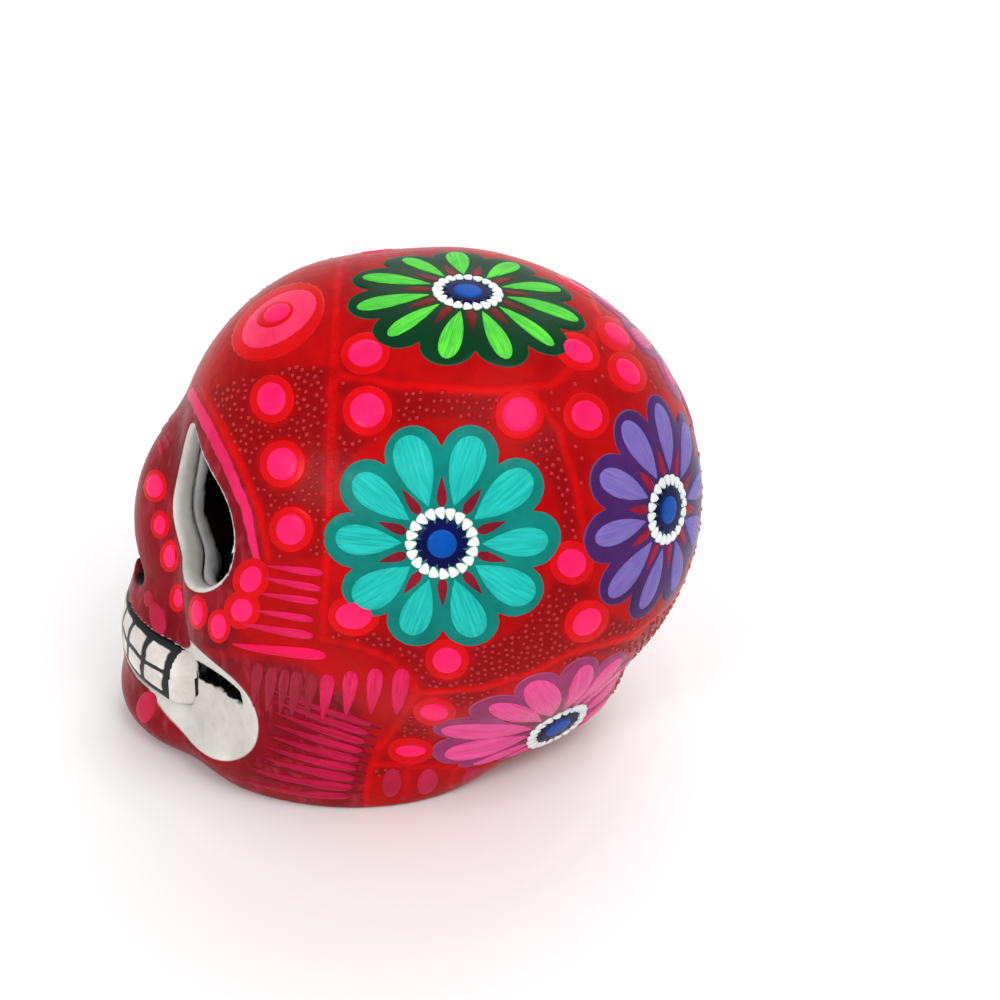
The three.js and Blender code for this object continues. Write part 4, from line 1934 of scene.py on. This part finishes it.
    def build(self, draper: Draper) -> None:
        """Lays every flower, layer by layer.

        Args:
            draper: What lays the marks on the shell.
        """
        rings, discs, ticks, eyes = [], [], [], []
        for flower, spot in self.spots():
            self.build_petals(draper, flower, spot)
            middle = replace(spot, squash=flower.heart_squash)
            rings += self.round_it(middle, self.ring_count, 0, self.ring_radius, self.ring_half,
                                   self.ring_lean)
            ticks += self.round_it(middle, self.tick_count, 0.5, self.tick_radius, self.tick_half, math.pi)
            discs.append(middle.moved(0, 0, 0, self.disc_radius, self.disc_radius))
            eyes.append(middle.moved(0, 0, 0, self.eye_radius, self.eye_radius))
        disc = Daub(Outline.DISC)
        draper.lay("flower_discs", Slot.BLUE, self.disc, disc, discs, self.disc_thick)
        draper.lay("flower_ticks", Slot.TURQUOISE, self.tick, Daub(Outline.WEDGE), ticks, self.tick_thick)
        draper.lay("flower_eyes", Slot.BLUE, self.eye, disc, eyes, self.eye_thick)
        ring = Daub(Outline.STROKE, crown=self.ring_crown)
        draper.lay("flower_rings", Slot.WHITE, self.ring, ring, rings, self.ring_thick)


@dataclass
class Daubs:
    """The pink dots, ovals and brush strokes round the flowers and the face."""

    painter: Painter
    kept_off: list[Spot]
    dots: tuple[Ellipse, ...] = (
        (365, 352, 18, 14, 10), (270, 398, 15, 17, 0), (367, 410, 18, 18, 0), (281, 464, 16, 17, 0),
        (290, 530, 15, 16, 0), (520, 414, 18, 18, 0), (588, 415, 17, 15, -40), (629, 371, 16, 9, -50),
        (618, 333, 16, 8, -40), (579, 350, 17, 10, -35), (573, 564, 15, 15, 0), (588, 623, 17, 12, 40),
        (353, 617, 19, 14, 0), (447, 662, 15, 13, 0), (434, 715, 15, 9, 0), (411, 752, 16, 6, 0),
        (250, 580, 11, 14, -25), (241, 611, 11, 12, 0),
    )
    chain: tuple[Ellipse, ...] = (
        (153, 486, 9, 12, 0), (159, 525, 6, 10, 0), (169, 557, 6, 12, 0), (178, 598, 5, 10, 0),
        (196, 613, 6, 13, 0), (218, 627, 8, 13, 0),
    )
    pale_marks: tuple[Ellipse, ...] = (
        (147, 599, 5, 9, 0), (156, 618, 8, 18, 15), (144, 708, 10, 17, -15), (166, 440, 2, 7, 25),
        (159, 447, 2, 8, 10), (392, 785, 10, 15, -10), (428, 784, 10, 15, -20), (473, 778, 9, 16, -35),
    )
    cheek: tuple[Stroke, ...] = (
        ((264, 566), (323, 574), 2.5), ((260, 578), (321, 590), 2.5), ((258, 594), (319, 603), 2.5),
        ((254, 611), (313, 621), 2.8), ((238, 624), (313, 638), 3.2),
    )
    bold: tuple[Stroke, ...] = (
        ((229, 645), (326, 658), 4.6),
    )
    comb_dull: tuple[Triple, ...] = (
        (259, 663, 3.5), (273, 667, 3.7), (286, 669, 3.2), (298, 671, 4.1), (313, 673, 3.5),
    )
    comb_bright: tuple[Triple, ...] = (
        (329, 674, 4.4), (352, 672, 4.6), (376, 672, 4.8), (402, 674, 5.2),
    )
    comb_drop: float = 47.0
    comb_lean: float = 7.0
    jaw_pixels: tuple[Stroke, ...] = (
        ((266, 690), (374, 729), 3.0), ((270, 702), (370, 737), 3.0), ((272, 714), (367, 746), 3.2),
        ((271, 726), (364, 755), 3.2), ((268, 738), (361, 764), 3.2), ((264, 749), (358, 773), 3.4),
        ((262, 760), (356, 783), 3.8), ((248, 772), (354, 793), 4.0), ((240, 785), (351, 803), 3.6),
    )
    pink: Finish = Finish("pink_dot", (247, 36, 102), (230, 18, 84), bump=0.08)
    pale: Finish = Finish("pink_oval", (186, 32, 68), (150, 20, 46))
    blush: Finish = Finish("pink_blush", (236, 62, 102), (214, 38, 80))
    halo: Finish = Finish("red_halo", (212, 7, 18), (188, 4, 10))
    bright: Finish = Finish("pink_stroke", (246, 20, 96), (206, 12, 60), streaks=True, end_deep=0.45)
    middling: Finish = Finish("rose_stroke", (232, 34, 100), (182, 12, 54), streaks=True, end_deep=0.5)
    dull: Finish = Finish("dull_stroke", (168, 42, 62), (126, 18, 36), streaks=True, end_deep=0.3)
    jaw: Finish = Finish("jaw_stroke", (214, 26, 82), (132, 8, 32), streaks=True, end_deep=0.75)
    jaw_fill: Finish = Finish("jaw_fill", (150, 16, 46), (104, 4, 22), streaks=True, end_deep=0.6)
    fill_width: float = 2.0
    fill_shift: tuple[float, ...] = (4.0, 0.0, 10.0, 0.0)
    halo_more: Pair = (8.0, 8.0)
    chain_more: Pair = (4.0, 5.0)
    base_belt: tuple[float, float, float, int] = (7.4, 54.0, 84.0, 5)
    base_toward: Triple = (0.1, 0.0, 1.0)
    base_half: Pair = (3.3, 2.3)
    forehead: Ellipse = (273, 315, 55, 32, 35)
    forehead_ring: Ellipse = (276, 315, 44, 22, 34)
    forehead_gap: Ellipse = (274, 313, 21, 12, 27)
    forehead_dot: Ellipse = (276, 312, 15, 8.5, 25)
    halo_thick: float = 0.08
    chain_thick: float = 0.07
    dot_thick: float = 0.24
    oval_thick: float = 0.18
    stroke_thick: float = 0.22
    bold_thick: float = 0.3
    fill_thick: float = 0.15
    gap_thick: float = 0.26
    top_thick: float = 0.36

    def halo_spots(self) -> list[Spot]:
        """The bright red ground under each pink dot.

        Returns:
            The grounds. One that would have its twin on another motif is single.
        """
        halos = self.painter.ovals(self.dots, self.halo_more)
        taken = [*self.kept_off, *halos]
        return [replace(halo, single=not halo.mirrored().clear_of(taken)) for halo in halos]

    def forehead_mark(self, row: Ellipse) -> Spot:
        """One part of the ringed oval, which lies across the middle and so has no twin."""
        return replace(self.painter.ovals([row])[0], single=True)

    def base_spots(self) -> list[Spot]:
        """The ovals that go on round the foot behind the last one in view.

        Returns:
            Their places.
        """
        spots = []
        for place in self.painter.belt(*self.base_belt):
            along, _, normal = self.painter.flat_axes(place, np.array(self.base_toward))
            spots.append(Spot(place, along, normal, *self.base_half))
        return spots

    def build_dots(self, draper: Draper) -> None:
        """Lays the dots, with the red under them, and the ovals.

        Args:
            draper: What lays the marks on the shell.
        """
        disc, oval = Daub(Outline.DISC), self.painter.ovals
        halos = self.halo_spots()
        draper.lay("dot_halos", Slot.RED, self.halo, disc, halos, self.halo_thick)
        chain = oval(self.chain, self.chain_more)
        draper.lay("chain_halos", Slot.RED, self.halo, disc, chain, self.chain_thick)
        dots = [replace(dot, single=halo.single) for dot, halo in zip(oval(self.dots), halos)]
        draper.lay("pink_dots", Slot.PINK, self.pink, disc, dots + oval(self.chain), self.dot_thick)
        pale = oval(self.pale_marks) + self.base_spots()
        draper.lay("pink_ovals", Slot.PINK, self.pale, disc, pale, self.oval_thick)

    def build_strokes(self, draper: Draper) -> None:
        """Lays the strokes of the cheek, the comb and the jaw.

        Args:
            draper: What lays the marks on the shell.
        """
        drop, lean = self.comb_drop, self.comb_lean
        combs = [[((x - lean, y + drop), (x, y), width) for x, y, width in rows]
                 for rows in (self.comb_dull, self.comb_bright)]
        jaw = np.array([[*thin, *thick] for thin, thick, _ in self.jaw_pixels])
        fill = [(row[:2], row[2:], self.fill_width) for row in (jaw[1:] + jaw[:-1]) / 2 + self.fill_shift]
        for name, finish, rows, thickness in (
            ("cheek_strokes", self.middling, self.cheek, self.stroke_thick),
            ("bold_strokes", self.bright, self.bold, self.bold_thick),
            ("comb_dull_strokes", self.dull, combs[0], self.stroke_thick),
            ("comb_bright_strokes", self.middling, combs[1], self.stroke_thick),
            ("jaw_strokes", self.jaw, self.jaw_pixels, self.stroke_thick),
            ("jaw_fill_strokes", self.jaw_fill, fill, self.fill_thick),
        ):
            spots = [self.painter.stroke(*row) for row in rows]
            draper.lay(name, Slot.PINK, finish, Daub(Outline.STROKE), spots, thickness)

    def build_forehead(self, draper: Draper) -> None:
        """Lays the ringed oval, one oval on another.

        Args:
            draper: What lays the marks on the shell.
        """
        for name, slot, finish, row, thickness in (
            ("forehead_halo", Slot.RED, self.halo, self.forehead, self.halo_thick),
            ("forehead_ring", Slot.PINK, self.blush, self.forehead_ring, self.oval_thick),
            ("forehead_gap", Slot.RED, self.halo, self.forehead_gap, self.gap_thick),
            ("forehead_dot", Slot.PINK, self.pink, self.forehead_dot, self.top_thick),
        ):
            draper.lay(name, slot, finish, Daub(Outline.DISC), [self.forehead_mark(row)], thickness)


@dataclass
class Beads:
    """The tiny raised dots that fill the panels behind the face."""

    shell: Piece
    spacing: float = 1.5
    density: float = 3.0
    radius: float = 0.62
    rise: float = 0.26
    sides: int = 6
    rings: tuple[Pair, ...] = ((0.62, 0.75), (1.0, -0.25))
    smallest: float = 0.75
    largest: float = 1.15
    finish: Finish = Finish("bead_red", (178, 14, 22), (150, 7, 12), rough=0.24, gloss=0.25)

    def bead(self) -> Piece:
        """Makes one closed bead.

        Returns:
            A hidden object.
        """
        angle = np.arange(self.sides) * 2 * math.pi / self.sides
        ring = np.stack([np.cos(angle), np.sin(angle)], 1) * self.radius
        rows = [np.array([[0, 0, self.rise]])]
        for share, high in self.rings:
            rows.append(np.column_stack([ring * share, np.full(self.sides, self.rise * high)]))
        rows.append(np.array([[0, 0, -self.rise]]))
        faces = []
        near, far, last = 1, 1 + self.sides, 1 + 2 * self.sides
        for k in range(self.sides):
            after = (k + 1) % self.sides
            faces.append((0, near + k, near + after))
            faces.append((near + k, far + k, far + after, near + after))
            faces.append((last, far + after, far + k))
        piece = new_piece(STAMP + "bead", np.concatenate(rows), faces)
        hide(piece)
        return piece

    def build(self) -> None:
        """Scatters the beads over the shell's panels."""
        graph, given, keys = new_tree("GeometryNodeTree", "scatter_beads", {
            "Geometry": "Geometry", "Bead": "Object", "Spacing": "Float", "Density": "Float",
            "Seed": "Int", "Finish": "Material",
        }, {"Geometry": "Geometry"})
        points = graph.add("GeometryNodeDistributePointsOnFaces", {
            "Mesh": given["Geometry"], "Distance Min": given["Spacing"], "Density Max": given["Density"],
            "Density Factor": graph.carried("bead_field", "FLOAT"), "Seed": given["Seed"],
        }, distribute_method="POISSON").outputs
        bead = graph.add("GeometryNodeObjectInfo", {"Object": given["Bead"]})
        sizes = {2: self.smallest, 3: self.largest, "Seed": given["Seed"]}
        size = graph.add("FunctionNodeRandomValue", sizes, data_type="FLOAT")
        copies = graph.add("GeometryNodeInstanceOnPoints", {
            "Points": points["Points"], "Instance": bead.outputs["Geometry"],
            "Rotation": points["Rotation"], "Scale": size.outputs[1],
        })
        real = graph.add("GeometryNodeRealizeInstances", {0: copies.outputs[0]})
        graph.dress(real.outputs[0], given["Finish"])
        carrier = bpy.data.objects.new("bead_ground", self.shell.data)
        bpy.context.scene.collection.objects.link(carrier)
        finish_piece(run_tree(carrier, "panel_beads", graph.tree, keys, {
            "Bead": self.bead(), "Spacing": self.spacing * MM, "Density": self.density / MM ** 2,
            "Seed": SEED, "Finish": self.finish.build(),
        }), Slot.RED)


@dataclass
class Studio:
    """The plain pale floor and the soft lights."""

    floor_half: float = 3.0
    floor_colour: tuple[float, ...] = (0.86, 0.86, 0.86, 1)
    floor_rough: float = 0.7
    lamps: tuple[tuple[Triple, float, float], ...] = (
        ((0.95, -0.75, 0.55), 0.35, 5.5),
        ((0.5, 0.5, 1.1), 0.8, 7.0),
        ((-0.8, 0.2, 0.9), 0.9, 5.0),
    )
    aim: Triple = (0.0, 0.0, 0.06)
    world_strength: float = 0.7

    def build_floor(self) -> None:
        """Makes the floor."""
        half = self.floor_half / MM
        corners = np.array([[-half, -half, 0], [half, -half, 0], [half, half, 0], [-half, half, 0]])
        floor = new_piece("floor", corners, [(0, 1, 2, 3)], smooth=False)
        material = bpy.data.materials.new("pale_floor")
        material.use_nodes = True
        graph = Graph(material.node_tree)
        shader = graph.add("ShaderNodeBsdfPrincipled", {
            "Base Color": self.floor_colour, "Roughness": self.floor_rough,
        })
        graph.add("ShaderNodeOutputMaterial", {"Surface": shader.outputs[0]})
        floor.data.materials.append(material)

    def build_lamps(self) -> None:
        """Makes the soft lamps."""
        for k, (place, size, power) in enumerate(self.lamps):
            light = bpy.data.lights.new(f"lamp_{k}", "AREA")
            light.size = size
            light.energy = power
            lamp = bpy.data.objects.new(f"lamp_{k}", light)
            turn = (Vector(self.aim) - Vector(place)).to_track_quat("-Z", "Y")
            lamp.matrix_world = Matrix.Translation(place) @ turn.to_matrix().to_4x4()
            bpy.context.scene.collection.objects.link(lamp)

    def build_world(self) -> None:
        """Makes the world, which is white where it is seen and softer where it lights the skull."""
        world = bpy.data.worlds.new("pale_world")
        bpy.context.scene.world = world
        world.use_nodes = True
        graph = Graph(world.node_tree)
        path = graph.add("ShaderNodeLightPath").outputs
        shown = graph.maths("MAXIMUM", path["Is Camera Ray"], path["Is Glossy Ray"])
        shown = graph.maths("MAXIMUM", shown, path["Is Transmission Ray"])
        strength = graph.spread(shown, 0, 1, self.world_strength)
        background = graph.add("ShaderNodeBackground", {"Color": (1, 1, 1, 1), "Strength": strength})
        graph.add("ShaderNodeOutputWorld", {"Surface": background.outputs[0]})


def clearance(marks: Sequence[Spot]) -> Callable[[Array], Array]:
    """Measures how far places are from painted motifs.

    Args:
        marks: The motifs.

    Returns:
        A function that gives places their distance from the edge of the nearest motif.
    """

    def measure(points: Array) -> Array:
        """Distance of places from the edge of the nearest motif."""
        best = np.full(len(points), FAR)
        for spot in marks:
            size = np.array([spot.half_length, spot.half_width * spot.squash])
            axes = np.stack([spot.along, spot.across(), spot.away], 1)
            flat = (points - spot.place) @ axes / [*size, 2 * size.max()]
            best = np.minimum(best, (np.linalg.norm(flat, axis=1) - 1) * size.min())
        return best

    return measure


def main() -> None:
    """Builds the skull piece by piece."""
    logging.basicConfig(level=logging.INFO, format="%(message)s")
    bpy.context.scene.view_settings.view_transform = "Standard"
    form = SkullForm()
    camera = PhotoCamera()
    camera.place()
    painter = Painter(form, camera)
    flowers = Flowers(painter)
    daubs = Daubs(painter, [spot for spot in flowers.grounds() if spot.single])
    marks = flowers.grounds() + daubs.halo_spots() + [daubs.forehead_mark(daubs.forehead)]
    marks += [spot.mirrored() for spot in marks if not spot.single]
    clay = ClayBody(form, painter)
    shell = clay.build_shell(clearance(marks))
    clay.build_teeth()
    clay.build_collars()
    coil = frame["nodes"]["seam_coil"]
    coil.data.materials.clear()
    coil.data.materials.append(CLAY_FINISH.build())
    draper = Draper(shell)
    flowers.build(draper)
    daubs.build_dots(draper)
    daubs.build_strokes(draper)
    daubs.build_forehead(draper)
    Beads(shell).build()
    for stamp in [piece for piece in bpy.data.objects if piece.name.startswith(STAMP)]:
        bpy.data.objects.remove(stamp)
    studio = Studio()
    studio.build_floor()
    studio.build_lamps()
    studio.build_world()


if __name__ == "__main__":
    main()
